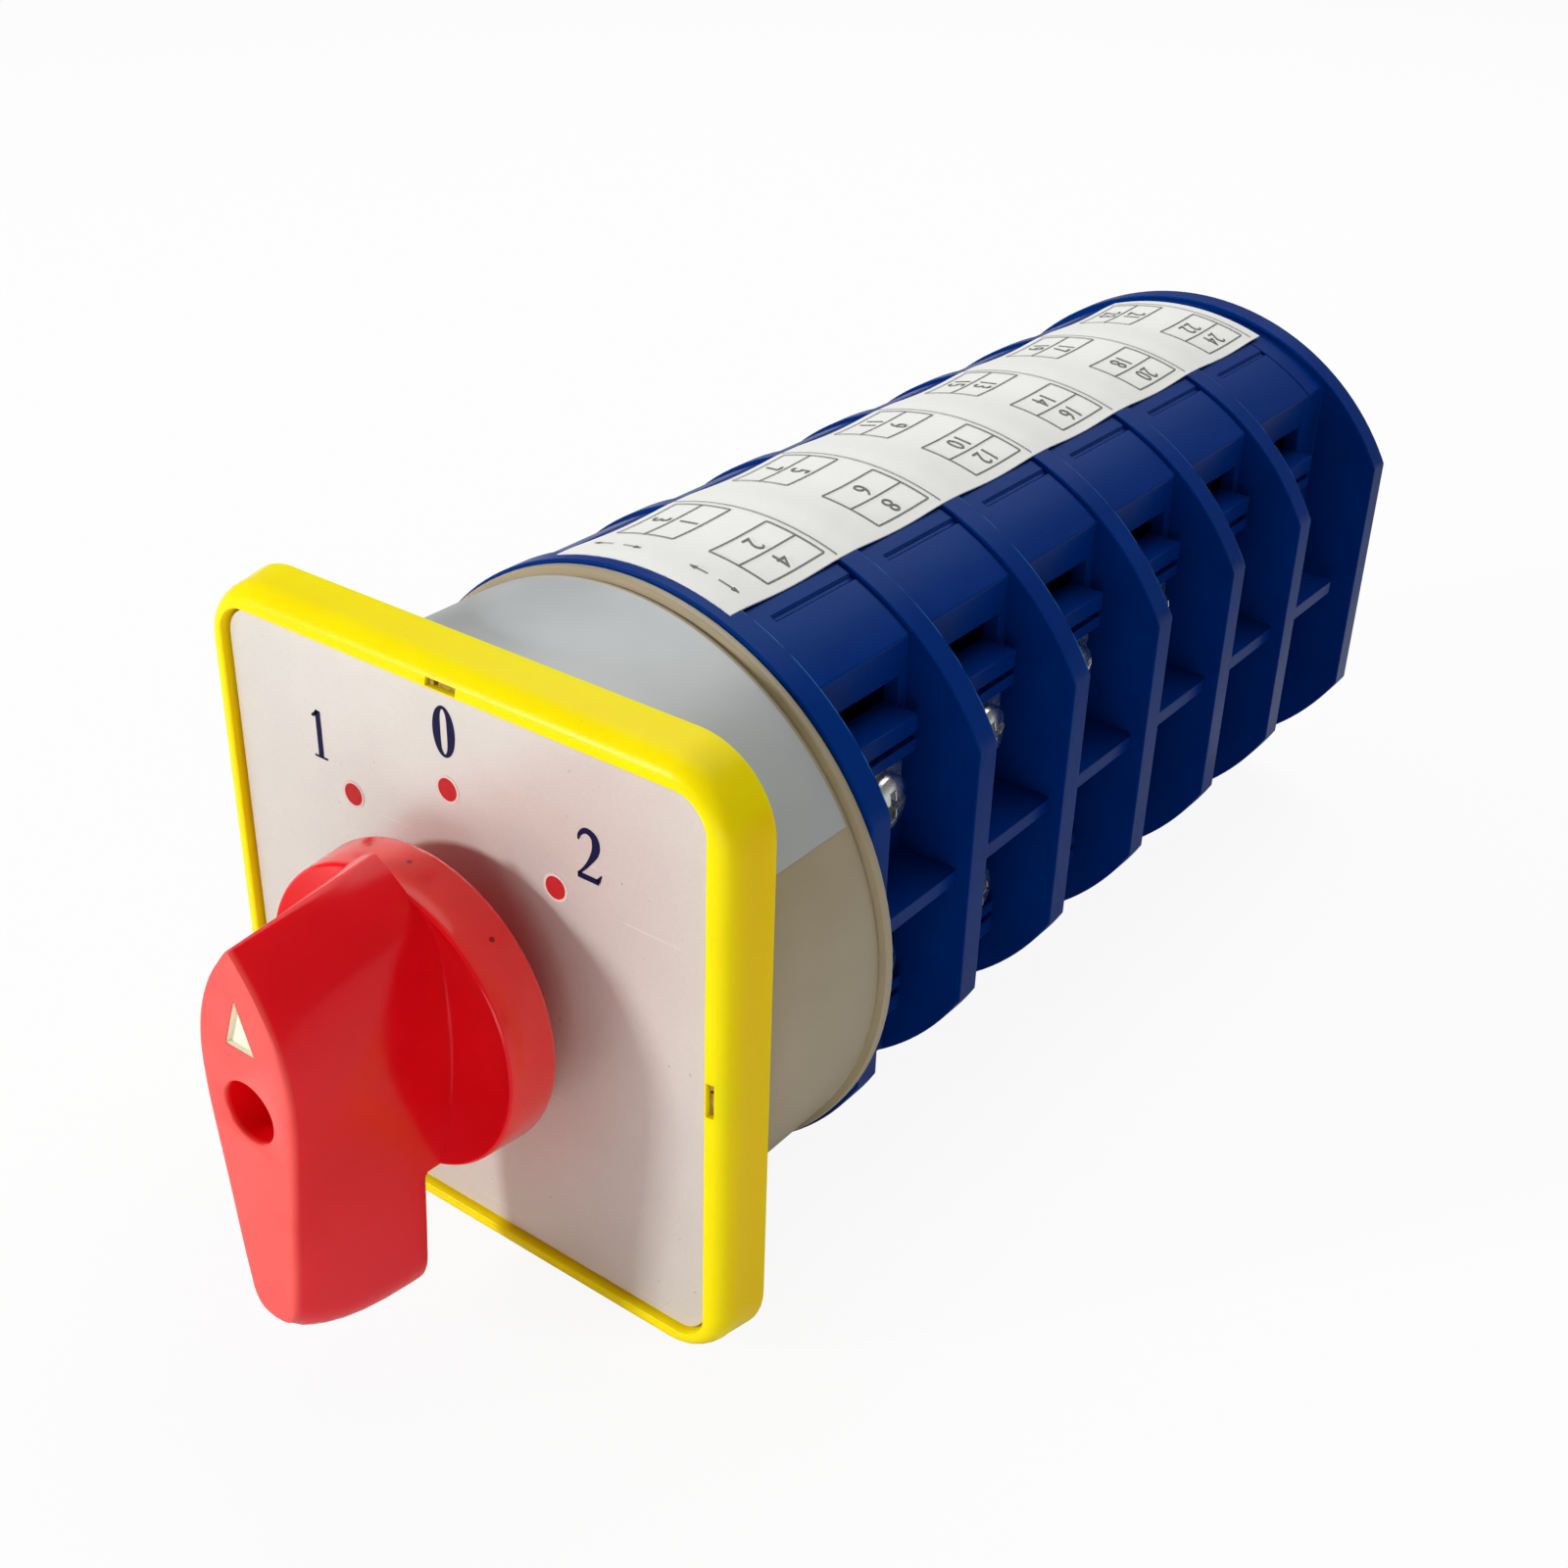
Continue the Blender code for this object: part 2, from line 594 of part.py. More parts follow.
# Drive shaft: one square bar through every cam, turned round where it runs in its bearings
def build_shaft():
    half = SHAFT_SIDE / 2
    square_end = STAGE_REAR - SEAT_GAP
    bm = bmesh.new()
    add_box(bm, (-half, half), (SHAFT_FRONT, square_end), (-half, half))
    bar = mesh_of("bar", bm)
    bm = bmesh.new()
    journal_y = (PLATE_BACK + SEAT_GAP, DETENT_CHAMBER + SEAT_GAP)
    add_rod(bm, "Y", JOURNAL_RADIUS, *journal_y, segments=MEDIUM_SEGMENTS)
    journal = mesh_of("journal", bm)
    bm = bmesh.new()
    pin_y = (square_end - BITE, square_end + REAR_PIN_LENGTH)
    add_rod(bm, "Y", REAR_PIN_RADIUS, *pin_y, segments=MEDIUM_SEGMENTS)
    return solid("drive_shaft", bar, joined=(journal, mesh_of("pin", bm)))


# Detent housing: a round cream cup with a bearing, a plunger guide and two rod bosses
def build_detent_housing():
    back = DETENT_LENGTH - SEAT_GAP
    bm = bmesh.new()
    add_rod(bm, "Y", DETENT_RADIUS, SEAT_GAP, back, segments=LARGE_SEGMENTS)
    cup = mesh_of("cup", bm)
    bm = bmesh.new()
    add_rod(bm, "Y", LIP_RADIUS, back - LIP_WIDTH, back, segments=LARGE_SEGMENTS)
    lip = mesh_of("lip", bm)
    inner_radius = DETENT_RADIUS - DETENT_WALL
    bm = bmesh.new()
    add_rod(bm, "Y", inner_radius, DETENT_CHAMBER, back + OVERCUT, segments=LARGE_SEGMENTS)
    chamber = mesh_of("chamber", bm)
    shell = solid("shell", cup, joined=(lip,), removed=(chamber,))
    guide_half = PLUNGER_HALF + RUN_GAP
    guide_roof = PLUNGER_BACK + RUN_GAP
    guide_start = STAR_TIP_RADIUS + GUIDE_SETBACK
    bm = bmesh.new()
    outer = guide_half + GUIDE_WALL
    front = DETENT_CHAMBER - BITE
    add_box(bm, (-outer, outer), (front, guide_roof + GUIDE_WALL), (guide_start, inner_radius + BITE))
    guide = mesh_of("guide", bm)
    bm = bmesh.new()
    for side in (-1, 1):
        across = mirrored(side, STAR_TIP_RADIUS + RUN_GAP, ROD_X + ROD_BOSS_HALF)
        add_box(bm, across, (front, back), (-ROD_BOSS_HALF, ROD_BOSS_HALF))
    bosses = mesh_of("bosses", bm)
    bm = bmesh.new()
    channel_end = inner_radius * math.cos(math.asin(guide_half / inner_radius))
    add_box(bm, (-guide_half, guide_half), (DETENT_CHAMBER, guide_roof), (guide_start - OVERCUT, channel_end))
    channel = mesh_of("channel", bm)
    bm = bmesh.new()
    add_rod(bm, "Y", JOURNAL_RADIUS + RUN_GAP, -OVERCUT, DETENT_CHAMBER + BITE, segments=MEDIUM_SEGMENTS)
    bearing = mesh_of("bearing", bm)
    bm = bmesh.new()
    for side in (-1, 1):
        across = (side * ROD_X, 0.0)
        rod_hole = ROD_RADIUS + SEAT_GAP
        add_rod(bm, "Y", rod_hole, ROD_END_Y - SEAT_GAP, back + OVERCUT, across, segments=TINY_SEGMENTS)
    rod_holes = mesh_of("rod_holes", bm)
    return solid("detent_housing", shell, joined=(guide, bosses), removed=(channel, bearing, rod_holes))


# Star wheel: one notch for each 45 degrees of the shaft
def build_star_wheel():
    outline = []
    steps = STAR_NOTCHES * STEPS_PER_NOTCH
    for index in range(steps):
        angle = math.tau * index / steps
        radius = STAR_TIP_RADIUS - STAR_NOTCH_DEPTH * (1.0 + math.cos(STAR_NOTCHES * angle)) / 2
        outline.append((radius * math.sin(angle), radius * math.cos(angle)))
    wheel = prism("star_wheel", outline, STAR_FRONT, STAR_FRONT + STAR_THICKNESS)
    bore = square_bore(STAR_FRONT - OVERCUT, STAR_FRONT + STAR_THICKNESS + OVERCUT)
    return solid("star_wheel", wheel, removed=(bore,))


# Detent plunger: a sliding block with a wedge nose and a spring bore
def build_plunger():
    outline = [
        (PLUNGER_NOSE_HALF, PLUNGER_Z),
        (PLUNGER_HALF, PLUNGER_Z + PLUNGER_NOSE),
        (PLUNGER_HALF, PLUNGER_TOP_Z),
    ]
    outline += [(-x, z) for x, z in reversed(outline)]
    block = prism("plunger", outline, PLUNGER_FRONT, PLUNGER_BACK)
    bm = bmesh.new()
    middle = (PLUNGER_FRONT + PLUNGER_BACK) / 2
    floor = PLUNGER_TOP_Z - PLUNGER_BORE_DEPTH
    add_rod(bm, "Z", PLUNGER_BORE, floor, PLUNGER_TOP_Z + OVERCUT, (0.0, middle), segments=SMALL_SEGMENTS)
    return solid("detent_plunger", block, removed=(mesh_of("bore", bm),))


# Detent spring: a coil between the plunger's bore and the housing wall
def build_spring():
    middle = (PLUNGER_FRONT + PLUNGER_BACK) / 2
    low = PLUNGER_TOP_Z - PLUNGER_BORE_DEPTH + SEAT_GAP + SPRING_WIRE
    high = DETENT_RADIUS - DETENT_WALL - 2 * SEAT_GAP - SPRING_WIRE
    steps = SPRING_TURNS * SPRING_STEPS
    points = []
    for index in range(steps + 1):
        angle = math.tau * SPRING_TURNS * index / steps
        height = low + (high - low) * index / steps
        points.append((SPRING_RADIUS * math.cos(angle), middle + SPRING_RADIUS * math.sin(angle), height))
    return tube("detent_spring", points, SPRING_WIRE)


# Stage housing: a flanged web with an open chamber behind it and a wiring bay at each side
def build_stage_housing():
    flange = prism("flange", two_arc_outline(FLANGE_RADIUS, FLAT_HALF), 0.0, FLANGE_THICKNESS)
    body = prism("body", two_arc_outline(SHELL_RADIUS, WALL_OUTER_X), FLANGE_THICKNESS - BITE, STAGE_BACK)
    hollow = two_arc_outline(SHELL_RADIUS - SHELL_WALL, WALL_INNER_X)
    chamber = prism("chamber", hollow, CHAMBER_FRONT, STAGE_BACK + OVERCUT)
    shell = solid("shell", flange, joined=(body,), removed=(chamber,))

    web = CHAMBER_FRONT - BITE
    bay_start = TERMINAL_Y - STRIP_WIDTH / 2 - TERMINAL_BAY_MARGIN
    bay_end = TERMINAL_Y + STRIP_WIDTH / 2 + TERMINAL_BAY_MARGIN
    shelf_top = STRIP_FLOOR_Z - SEAT_GAP
    guard_x = LEG_OUTER_X + SEAT_GAP
    guard_z = SCREW_Z + SCREW_HEAD_RADIUS + SEAT_GAP
    bm = bmesh.new()
    for side in (-1, 1):
        rib = mirrored(side, WALL_INNER_X + BITE, RIB_REACH)
        add_box(bm, rib, (web, STAGE_BACK), (-RIB_THICKNESS / 2, RIB_THICKNESS / 2))
        boss = mirrored(side, CAM_REACH + ROD_BOSS_FROM_CAM, WALL_INNER_X + BITE / 2)
        add_box(bm, boss, (web, STAGE_BACK), (-ROD_BOSS_HALF, ROD_BOSS_HALF))
        for level in (-1, 1):
            guide = mirrored(side, CARRIER_HALF + RUN_GAP, CARRIER_HALF + RUN_GAP + GUIDE_WALL)
            add_box(bm, guide, (web, STAGE_BACK), mirrored(level, CARRIER_GUIDE_BASE, CARRIER_GUIDE_TOP))
            shelf = mirrored(side, STRIP_START_X, WALL_INNER_X + BITE)
            add_box(bm, shelf, (web, bay_end), mirrored(level, shelf_top - SHELF_THICKNESS, shelf_top))
            ledge = mirrored(side, WALL_OUTER_X - BITE, guard_x + GUARD_THICKNESS)
            add_box(bm, ledge, (web, bay_end), mirrored(level, SLOT_TOP_Z, SLOT_TOP_Z + LEDGE_HEIGHT))
            guard = mirrored(side, guard_x, guard_x + GUARD_THICKNESS)
            add_box(bm, guard, (web, bay_end), mirrored(level, guard_z, guard_z + GUARD_HEIGHT))
    fittings = mesh_of("fittings", bm)

    bm = bmesh.new()
    add_rod(bm, "Y", SHAFT_HOLE_RADIUS, -OVERCUT, CHAMBER_FRONT + BITE, segments=MEDIUM_SEGMENTS)
    for side in (-1, 1):
        rod_hole = ROD_RADIUS + SEAT_GAP
        add_rod(bm, "Y", rod_hole, -OVERCUT, STAGE_PITCH, (side * ROD_X, 0.0), segments=TINY_SEGMENTS)
        for level in (-1, 1):
            through = mirrored(side, WALL_INNER_X - BITE, WALL_OUTER_X + BITE)
            half_slot = STRIP_WIDTH / 2 + SEAT_GAP
            slot_y = (TERMINAL_Y - half_slot, TERMINAL_Y + half_slot)
            add_box(bm, through, slot_y, mirrored(level, shelf_top, SLOT_TOP_Z))
            pocket_z = SLOT_TOP_Z + LEDGE_HEIGHT
            pocket_y = (CHAMBER_FRONT + POCKET_MARGIN, bay_end)
            add_box(bm, through, pocket_y, mirrored(level, pocket_z, pocket_z + POCKET_HEIGHT))
            shank_hole = SCREW_SHANK_RADIUS + SEAT_GAP
            screw_at = (TERMINAL_Y, level * SCREW_Z)
            add_rod(bm, "X", shank_hole, *through, screw_at, segments=TINY_SEGMENTS)
            turn = side * GROOVE_ANGLE + (math.pi if level < 0 else 0.0)
            groove = (SHELL_RADIUS - GROOVE_DEPTH, FLANGE_RADIUS)
            half_groove = (-GROOVE_WIDTH / 2, GROOVE_WIDTH / 2)
            add_box(bm, half_groove, (FLANGE_THICKNESS + GROOVE_SETBACK, STAGE_PITCH), groove, turn=turn)
    openings = mesh_of("openings", bm)
    return solid("stage_housing", shell, joined=(fittings,), removed=(openings,))


def cam_radius(angle):
    """Radius at an angle from the cam's top towards +X: even ramps at top and bottom."""
    turned = (angle + math.pi / 2) % math.tau - math.pi / 2
    if turned > math.pi / 2:
        turned = math.pi - turned
    return CAM_RADIUS - CAM_RISE_PER_RADIAN * max(-CAM_RAMP, min(CAM_RAMP, turned))


# Cam: a disc whose rim lifts the upper carrier one way and the lower carrier the other way
def build_cam():
    outline = []
    for index in range(CAM_SEGMENTS):
        angle = math.tau * index / CAM_SEGMENTS
        radius = cam_radius(angle)
        outline.append((radius * math.sin(angle), radius * math.cos(angle)))
    front = CHAMBER_MIDDLE - CAM_THICKNESS / 2
    disc = prism("cam", outline, front, front + CAM_THICKNESS)
    hub_front = CHAMBER_FRONT + RUN_GAP
    bm = bmesh.new()
    add_rod(bm, "Y", CAM_HUB_RADIUS, hub_front, STAGE_BACK)
    return solid("cam", disc, joined=(mesh_of("hub", bm),), removed=(square_bore(0.0, STAGE_PITCH),))


# Contact carrier: a follower with its bridge and two contact tips, built about the chamber's middle
def build_contact_carrier():
    depth = (STAGE_BACK - CHAMBER_FRONT - RUN_GAP) / 2
    outline = [
        (FOLLOWER_TIP_HALF, FOLLOWER_Z),
        (CARRIER_HALF, FOLLOWER_Z + FOLLOWER_TAPER),
        (CARRIER_HALF, CARRIER_TOP_Z),
    ]
    outline += [(-x, z) for x, z in reversed(outline)]
    block = prism("carrier", outline, -depth, depth)
    middle = TERMINAL_Y - CHAMBER_MIDDLE
    bm = bmesh.new()
    across = (middle - BRIDGE_WIDTH / 2, middle + BRIDGE_WIDTH / 2)
    add_box(bm, (-BRIDGE_HALF, BRIDGE_HALF), across, (BRIDGE_Z, BRIDGE_Z + BRIDGE_THICKNESS))
    bridge = mesh_of("bridge", bm)
    bm = bmesh.new()
    for side in (-1, 1):
        tip_at = (side * CONTACT_X, middle)
        tip_z = (BRIDGE_Z - CONTACT_HEIGHT, BRIDGE_Z + BITE)
        add_rod(bm, "Z", CONTACT_RADIUS, *tip_z, tip_at, segments=TINY_SEGMENTS)
    return solid("contact_carrier", block, joined=(bridge, mesh_of("tips", bm)))


# Terminal: a fixed contact strip bent down outside the wall, with its clamp screw
def build_terminal():
    half = STRIP_WIDTH / 2
    bm = bmesh.new()
    add_box(bm, (STRIP_START_X, LEG_OUTER_X), (-half, half), (STRIP_FLOOR_Z, STRIP_TOP_Z))
    strip = mesh_of("strip", bm)
    bm = bmesh.new()
    add_box(bm, (LEG_INNER_X, LEG_OUTER_X), (-half, half), (STRIP_TOP_Z - STRIP_DROP, STRIP_TOP_Z - BITE))
    leg = mesh_of("leg", bm)
    bm = bmesh.new()
    tip_z = (STRIP_TOP_Z - BITE, FIXED_CONTACT_Z)
    add_rod(bm, "Z", CONTACT_RADIUS, *tip_z, (CONTACT_X, 0.0), segments=TINY_SEGMENTS)
    tip = mesh_of("tip", bm)
    bm = bmesh.new()
    add_rod(bm, "X", SCREW_HEAD_RADIUS, LEG_OUTER_X - BITE, SCREW_HEAD_X, (0.0, SCREW_Z))
    head = mesh_of("head", bm)
    bm = bmesh.new()
    shank_x = (LEG_OUTER_X - SCREW_SHANK_LENGTH, LEG_INNER_X + BITE)
    add_rod(bm, "X", SCREW_SHANK_RADIUS, *shank_x, (0.0, SCREW_Z), segments=TINY_SEGMENTS)
    return solid("terminal", strip, joined=(leg, tip, head, mesh_of("shank", bm)))


# Rear cover: a flanged plug that closes the last stage and carries the shaft's rear pin
def build_rear_cover():
    flange = prism("flange", two_arc_outline(REAR_COVER_RADIUS, FLAT_HALF), REAR_FLANGE_Y, REAR_END)
    plug = prism("plug", two_arc_outline(SHELL_RADIUS, WALL_OUTER_X), STAGE_REAR, REAR_FLANGE_Y + BITE)
    pin_end = STAGE_REAR - SEAT_GAP + REAR_PIN_LENGTH
    bm = bmesh.new()
    add_rod(
        bm, "Y", REAR_PIN_RADIUS + RUN_GAP, STAGE_REAR - OVERCUT, pin_end + SEAT_GAP, segments=MEDIUM_SEGMENTS
    )
    for side in (-1, 1):
        across = (side * ROD_X, 0.0)
        hole_y = (STAGE_REAR - OVERCUT, ROD_HEAD_SEAT)
        add_rod(bm, "Y", ROD_RADIUS + SEAT_GAP, *hole_y, across, segments=TINY_SEGMENTS)
    holes = mesh_of("holes", bm)
    bm = bmesh.new()
    for side in (-1, 1):
        across = (side * ROD_X, 0.0)
        head_space = ROD_HEAD_RADIUS + SEAT_GAP
        add_rod(bm, "Y", head_space, ROD_HEAD_SEAT - SEAT_GAP, REAR_END + OVERCUT, across)
    return solid("rear_cover", flange, joined=(plug,), removed=(holes, mesh_of("counterbores", bm)))


# Tie rod: a long screw from the rear cover into the detent housing
def build_tie_rod():
    bm = bmesh.new()
    add_rod(bm, "Y", ROD_RADIUS, ROD_END_Y, ROD_HEAD_SEAT + BITE, segments=TINY_SEGMENTS)
    rod = mesh_of("rod", bm)
    bm = bmesh.new()
    add_rod(bm, "Y", ROD_HEAD_RADIUS, ROD_HEAD_SEAT, ROD_HEAD_SEAT + ROD_HEAD_HEIGHT)
    return solid("tie_rod", rod, joined=(mesh_of("head", bm),))


# Contact label: a paper strip wrapped over the tops of the flanges
def build_label():
    steps = 2 * arc_steps(2 * LABEL_ANGLE)
    outer = arc(LABEL_RADIUS + LABEL_THICKNESS, -LABEL_ANGLE, LABEL_ANGLE, steps)
    inner = arc(LABEL_RADIUS, LABEL_ANGLE, -LABEL_ANGLE, steps)
    front = DETENT_LENGTH + LABEL_FRONT_MARGIN
    return prism("label", outer + inner, front, REAR_FLANGE_Y - LABEL_REAR_MARGIN)


def build_switch():
    handle_axis = bpy.data.objects.new("handle_axis", None)
    PARTS.objects.link(handle_axis)
    handle_axis.empty_display_size = BEZEL_HALF

    place("bezel", build_bezel(), YELLOW)
    place("dial_plate", build_dial_plate(), SILVER)
    place("detent_housing", build_detent_housing(), CREAM)
    place("knob", build_knob(), RED, parent=handle_axis)
    place("drive_shaft", build_shaft(), STEEL, parent=handle_axis)
    place("star_wheel", build_star_wheel(), WHITE_NYLON, parent=handle_axis)
    place("detent_plunger", build_plunger(), BLACK_NYLON)
    place("detent_spring", build_spring(), SPRING_STEEL)
    place("rear_cover", build_rear_cover(), BLUE)
    place("contact_label", build_label(), PAPER)
    tie_rod = build_tie_rod()
    place("tie_rod_right", tie_rod, STEEL, location=(ROD_X, 0.0, 0.0))
    place("tie_rod_left", tie_rod, STEEL, location=(-ROD_X, 0.0, 0.0))

    housing = build_stage_housing()
    cam = build_cam()
    carrier = build_contact_carrier()
    terminal = build_terminal()
    half_turn = math.pi
    terminal_turns = ((0.0, 0.0, half_turn), (0.0, 0.0, 0.0), (0.0, half_turn, 0.0), (half_turn, 0.0, 0.0))
    for stage in range(STAGES):
        start = stage_y(stage)
        label = f"stage_{stage + 1}"
        middle = (0.0, start + CHAMBER_MIDDLE, 0.0)
        place(f"{label}_housing", housing, BLUE, location=(0.0, start, 0.0))
        place(f"{label}_cam", cam, WHITE_NYLON, location=(0.0, start, 0.0), parent=handle_axis)
        place(f"{label}_contact_upper", carrier, BLACK_NYLON, location=middle)
        place(f"{label}_contact_lower", carrier, BLACK_NYLON, location=middle, turn=(0.0, half_turn, 0.0))
        for corner, turn in enumerate(terminal_turns):
            number = 4 * stage + corner + 1
            spot = (0.0, start + TERMINAL_Y, 0.0)
            place(f"terminal_{number:02d}", terminal, NICKEL, location=spot, turn=turn)


build_switch()
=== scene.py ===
"""Rotary cam switch with six contact stages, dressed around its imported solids.

Metres, in the frame of the solids: the shaft lies on Y, the dial faces -Y, Z is up
and X runs to the right as seen from the front. y = 0 is the panel plane.
"""

import math

import bmesh
import bpy
from mathutils import Matrix, Vector


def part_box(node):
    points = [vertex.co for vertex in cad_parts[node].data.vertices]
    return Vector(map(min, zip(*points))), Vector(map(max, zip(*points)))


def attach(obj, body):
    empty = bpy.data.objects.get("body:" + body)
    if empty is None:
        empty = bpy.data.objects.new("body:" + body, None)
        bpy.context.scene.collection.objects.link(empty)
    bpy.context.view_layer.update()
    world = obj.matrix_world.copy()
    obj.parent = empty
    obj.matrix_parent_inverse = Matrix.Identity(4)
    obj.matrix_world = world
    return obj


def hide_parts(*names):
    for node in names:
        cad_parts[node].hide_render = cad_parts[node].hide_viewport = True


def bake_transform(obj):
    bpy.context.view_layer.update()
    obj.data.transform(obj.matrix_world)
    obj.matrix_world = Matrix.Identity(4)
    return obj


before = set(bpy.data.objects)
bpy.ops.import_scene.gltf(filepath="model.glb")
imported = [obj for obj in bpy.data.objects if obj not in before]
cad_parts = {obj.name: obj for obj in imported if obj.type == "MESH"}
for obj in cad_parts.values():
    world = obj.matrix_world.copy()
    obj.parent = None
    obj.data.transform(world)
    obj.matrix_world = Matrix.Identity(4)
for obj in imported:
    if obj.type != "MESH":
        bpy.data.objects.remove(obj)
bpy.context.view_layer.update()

# Camera: it stands to the right of the dial, above it and close, and looks down
# along the switch, so the dial is large and the rear stages draw together.
MM = 0.001
SENSOR = 36.0
FOCAL_PIXELS = 2038.0
PHOTO_PIXELS = 1600
camera = bpy.data.objects.new("camera", bpy.data.cameras.new("camera"))
camera.data.sensor_width = SENSOR
camera.data.lens = SENSOR * FOCAL_PIXELS / PHOTO_PIXELS
camera.data.clip_start = 10 * MM
camera.data.clip_end = 10.0
camera_right = Vector((0.7987, 0.6011, 0.0266))
camera_down = Vector((0.3197, -0.3865, -0.8651))
camera_ahead = Vector((-0.5097, 0.6995, -0.5009))
camera_turn = Matrix((camera_right, -camera_down, -camera_ahead)).transposed().to_4x4()
camera.matrix_world = Matrix.Translation(Vector((111.9, -109.0, 107.8)) * MM) @ camera_turn
bpy.context.scene.collection.objects.link(camera)
bpy.context.scene.camera = camera
bpy.context.scene.view_settings.view_transform = "Standard"


# Floor: a white table top under the switch. Seen directly it is nearly white, and it
# keeps a part of the soft shadow that the switch throws.
FLOOR_Z = -32.4 * MM
FLOOR_HALF = 4.0
FLOOR_WHITE_SHARE = 0.92


class Strand:
    """One socket of a finish's node tree. Sums written in Python add its Math nodes."""

    def __init__(self, tree, socket):
        self.tree = tree
        self.socket = socket

    def node(self, kind, settings=(), values=(), out=0):
        """Add a node: its settings first, then the values or links of its sockets."""
        made = self.tree.nodes.new(kind)
        for name, value in dict(settings).items():
            setattr(made, name, value)
        for name, value in dict(values).items():
            if isinstance(value, Strand):
                self.tree.links.new(value.socket, made.inputs[name])
            else:
                made.inputs[name].default_value = value
        return Strand(self.tree, made.outputs[out])

    def sum_of(self, operation, *terms):
        return self.node("ShaderNodeMath", {"operation": operation}, dict(enumerate(terms)))

    def __add__(self, other):
        return self.sum_of("ADD", self, other)

    def __sub__(self, other):
        return self.sum_of("SUBTRACT", self, other)

    def __rsub__(self, other):
        return self.sum_of("SUBTRACT", other, self)

    def __mul__(self, other):
        return self.sum_of("MULTIPLY", self, other)

    __radd__ = __add__
    __rmul__ = __mul__

    def noise(self, size, detail=2.0, stretch=(1.0, 1.0, 1.0)):
        """Cloudy values from 0 to 1 whose patches are about size across, in metres."""
        place = self
        if stretch != (1.0, 1.0, 1.0):
            place = self.node("ShaderNodeMapping", {}, {"Vector": self, "Scale": stretch})
        return self.node("ShaderNodeTexNoise", {}, {"Vector": place, "Scale": 1 / size, "Detail": detail})

    def step(self, low, high):
        """0 below low and 1 above high, with a soft rise between them."""
        limits = {"Value": self, "From Min": low, "From Max": high}
        return self.node("ShaderNodeMapRange", {"interpolation_type": "SMOOTHSTEP"}, limits)

    def blend(self, first, second):
        """The first colour where this is 0 and the second where it is 1."""
        values = {0: self}
        for index, colour in ((6, first), (7, second)):
            values[index] = colour if isinstance(colour, Strand) else (*colour, 1.0)
        return self.node("ShaderNodeMix", {"data_type": "RGBA"}, values, out=2)

    def relief(self, depth, strength=1.0):
        """A normal for a surface that this raises by up to depth, in metres."""
        values = {"Height": self, "Distance": depth, "Strength": strength}
        return self.node("ShaderNodeBump", {}, values)

    def parts(self):
        """The X, Y and Z of a place."""
        return [self.node("ShaderNodeSeparateXYZ", {}, {"Vector": self}, out=axis) for axis in range(3)]

    def seen_directly(self):
        """1 for what the camera sees straight or through glass, 0 in reflections and as light."""
        rays = self.node("ShaderNodeLightPath")
        through = Strand(self.tree, rays.socket.node.outputs["Is Transmission Ray"])
        return rays.sum_of("MAXIMUM", rays, through)


def new_finish(name):
    """A material, and its Object coordinates to draw patterns from."""
    material = bpy.data.materials.new(name)
    material.use_nodes = True
    tree = material.node_tree
    where = tree.nodes.new("ShaderNodeTexCoord").outputs["Object"]
    return material, Strand(tree, where)


def set_finish(material, **values):
    """Give the finish's main shader its values and links. Underscores stand for spaces."""
    tree = material.node_tree
    shader = tree.nodes["Principled BSDF"]
    for name, value in values.items():
        socket = shader.inputs[name.replace("_", " ")]
        if isinstance(value, Strand):
            tree.links.new(value.socket, socket)
        else:
            socket.default_value = value
    return material


bm = bmesh.new()
place = Matrix.Translation((0, 0, FLOOR_Z))
bmesh.ops.create_grid(bm, x_segments=1, y_segments=1, size=FLOOR_HALF, matrix=place)
floor_mesh = bpy.data.meshes.new("floor")
bm.to_mesh(floor_mesh)
bm.free()
floor = bpy.data.objects.new("floor", floor_mesh)
bpy.context.scene.collection.objects.link(floor)
floor_finish, where = new_finish("floor_white")
set_finish(floor_finish, Base_Color=(0.86, 0.86, 0.86, 1.0), Roughness=0.9, Specular_IOR_Level=0.0)
tree = floor_finish.node_tree
glow = where.node("ShaderNodeEmission", {}, {"Color": (1.0, 1.0, 1.0, 1.0), "Strength": 1.0})
lit = Strand(tree, tree.nodes["Principled BSDF"].outputs[0])
shown = where.node("ShaderNodeMixShader", {}, {0: where.seen_directly() * FLOOR_WHITE_SHARE, 1: lit, 2: glow})
tree.links.new(shown.socket, tree.nodes["Material Output"].inputs["Surface"])
floor_mesh.materials.append(floor_finish)

# Light: one soft lamp from the front left, a wide one overhead, a weak one close to the
# dial at the lower right like a white card, and a pale room that fills the shadows.
# Together they show a colour on the dial about as it is written.
WORLD_LEVEL = 0.22
world = bpy.data.worlds.new("room")
world.use_nodes = True
bpy.context.scene.world = world
tree = world.node_tree
start = Strand(tree, tree.nodes["Background"].outputs[0])
level = start.seen_directly() * (1.0 - WORLD_LEVEL) + WORLD_LEVEL
tree.nodes["Background"].inputs["Color"].default_value = (1.0, 1.0, 1.0, 1.0)
tree.links.new(level.socket, tree.nodes["Background"].inputs["Strength"])


def add_lamp(name, towards, distance, size, watts, aim=(0.0, 0.0, 0.0)):
    """A square soft lamp at a distance in the given direction, aimed at a point."""
    lamp = bpy.data.objects.new(name, bpy.data.lights.new(name, "AREA"))
    lamp.data.shape = "SQUARE"
    lamp.data.size = size
    lamp.data.energy = watts
    away = Vector(towards).normalized()
    turn = away.to_track_quat("Z", "Y").to_matrix().to_4x4()
    lamp.matrix_world = Matrix.Translation(Vector(aim) + away * distance) @ turn
    bpy.context.scene.collection.objects.link(lamp)


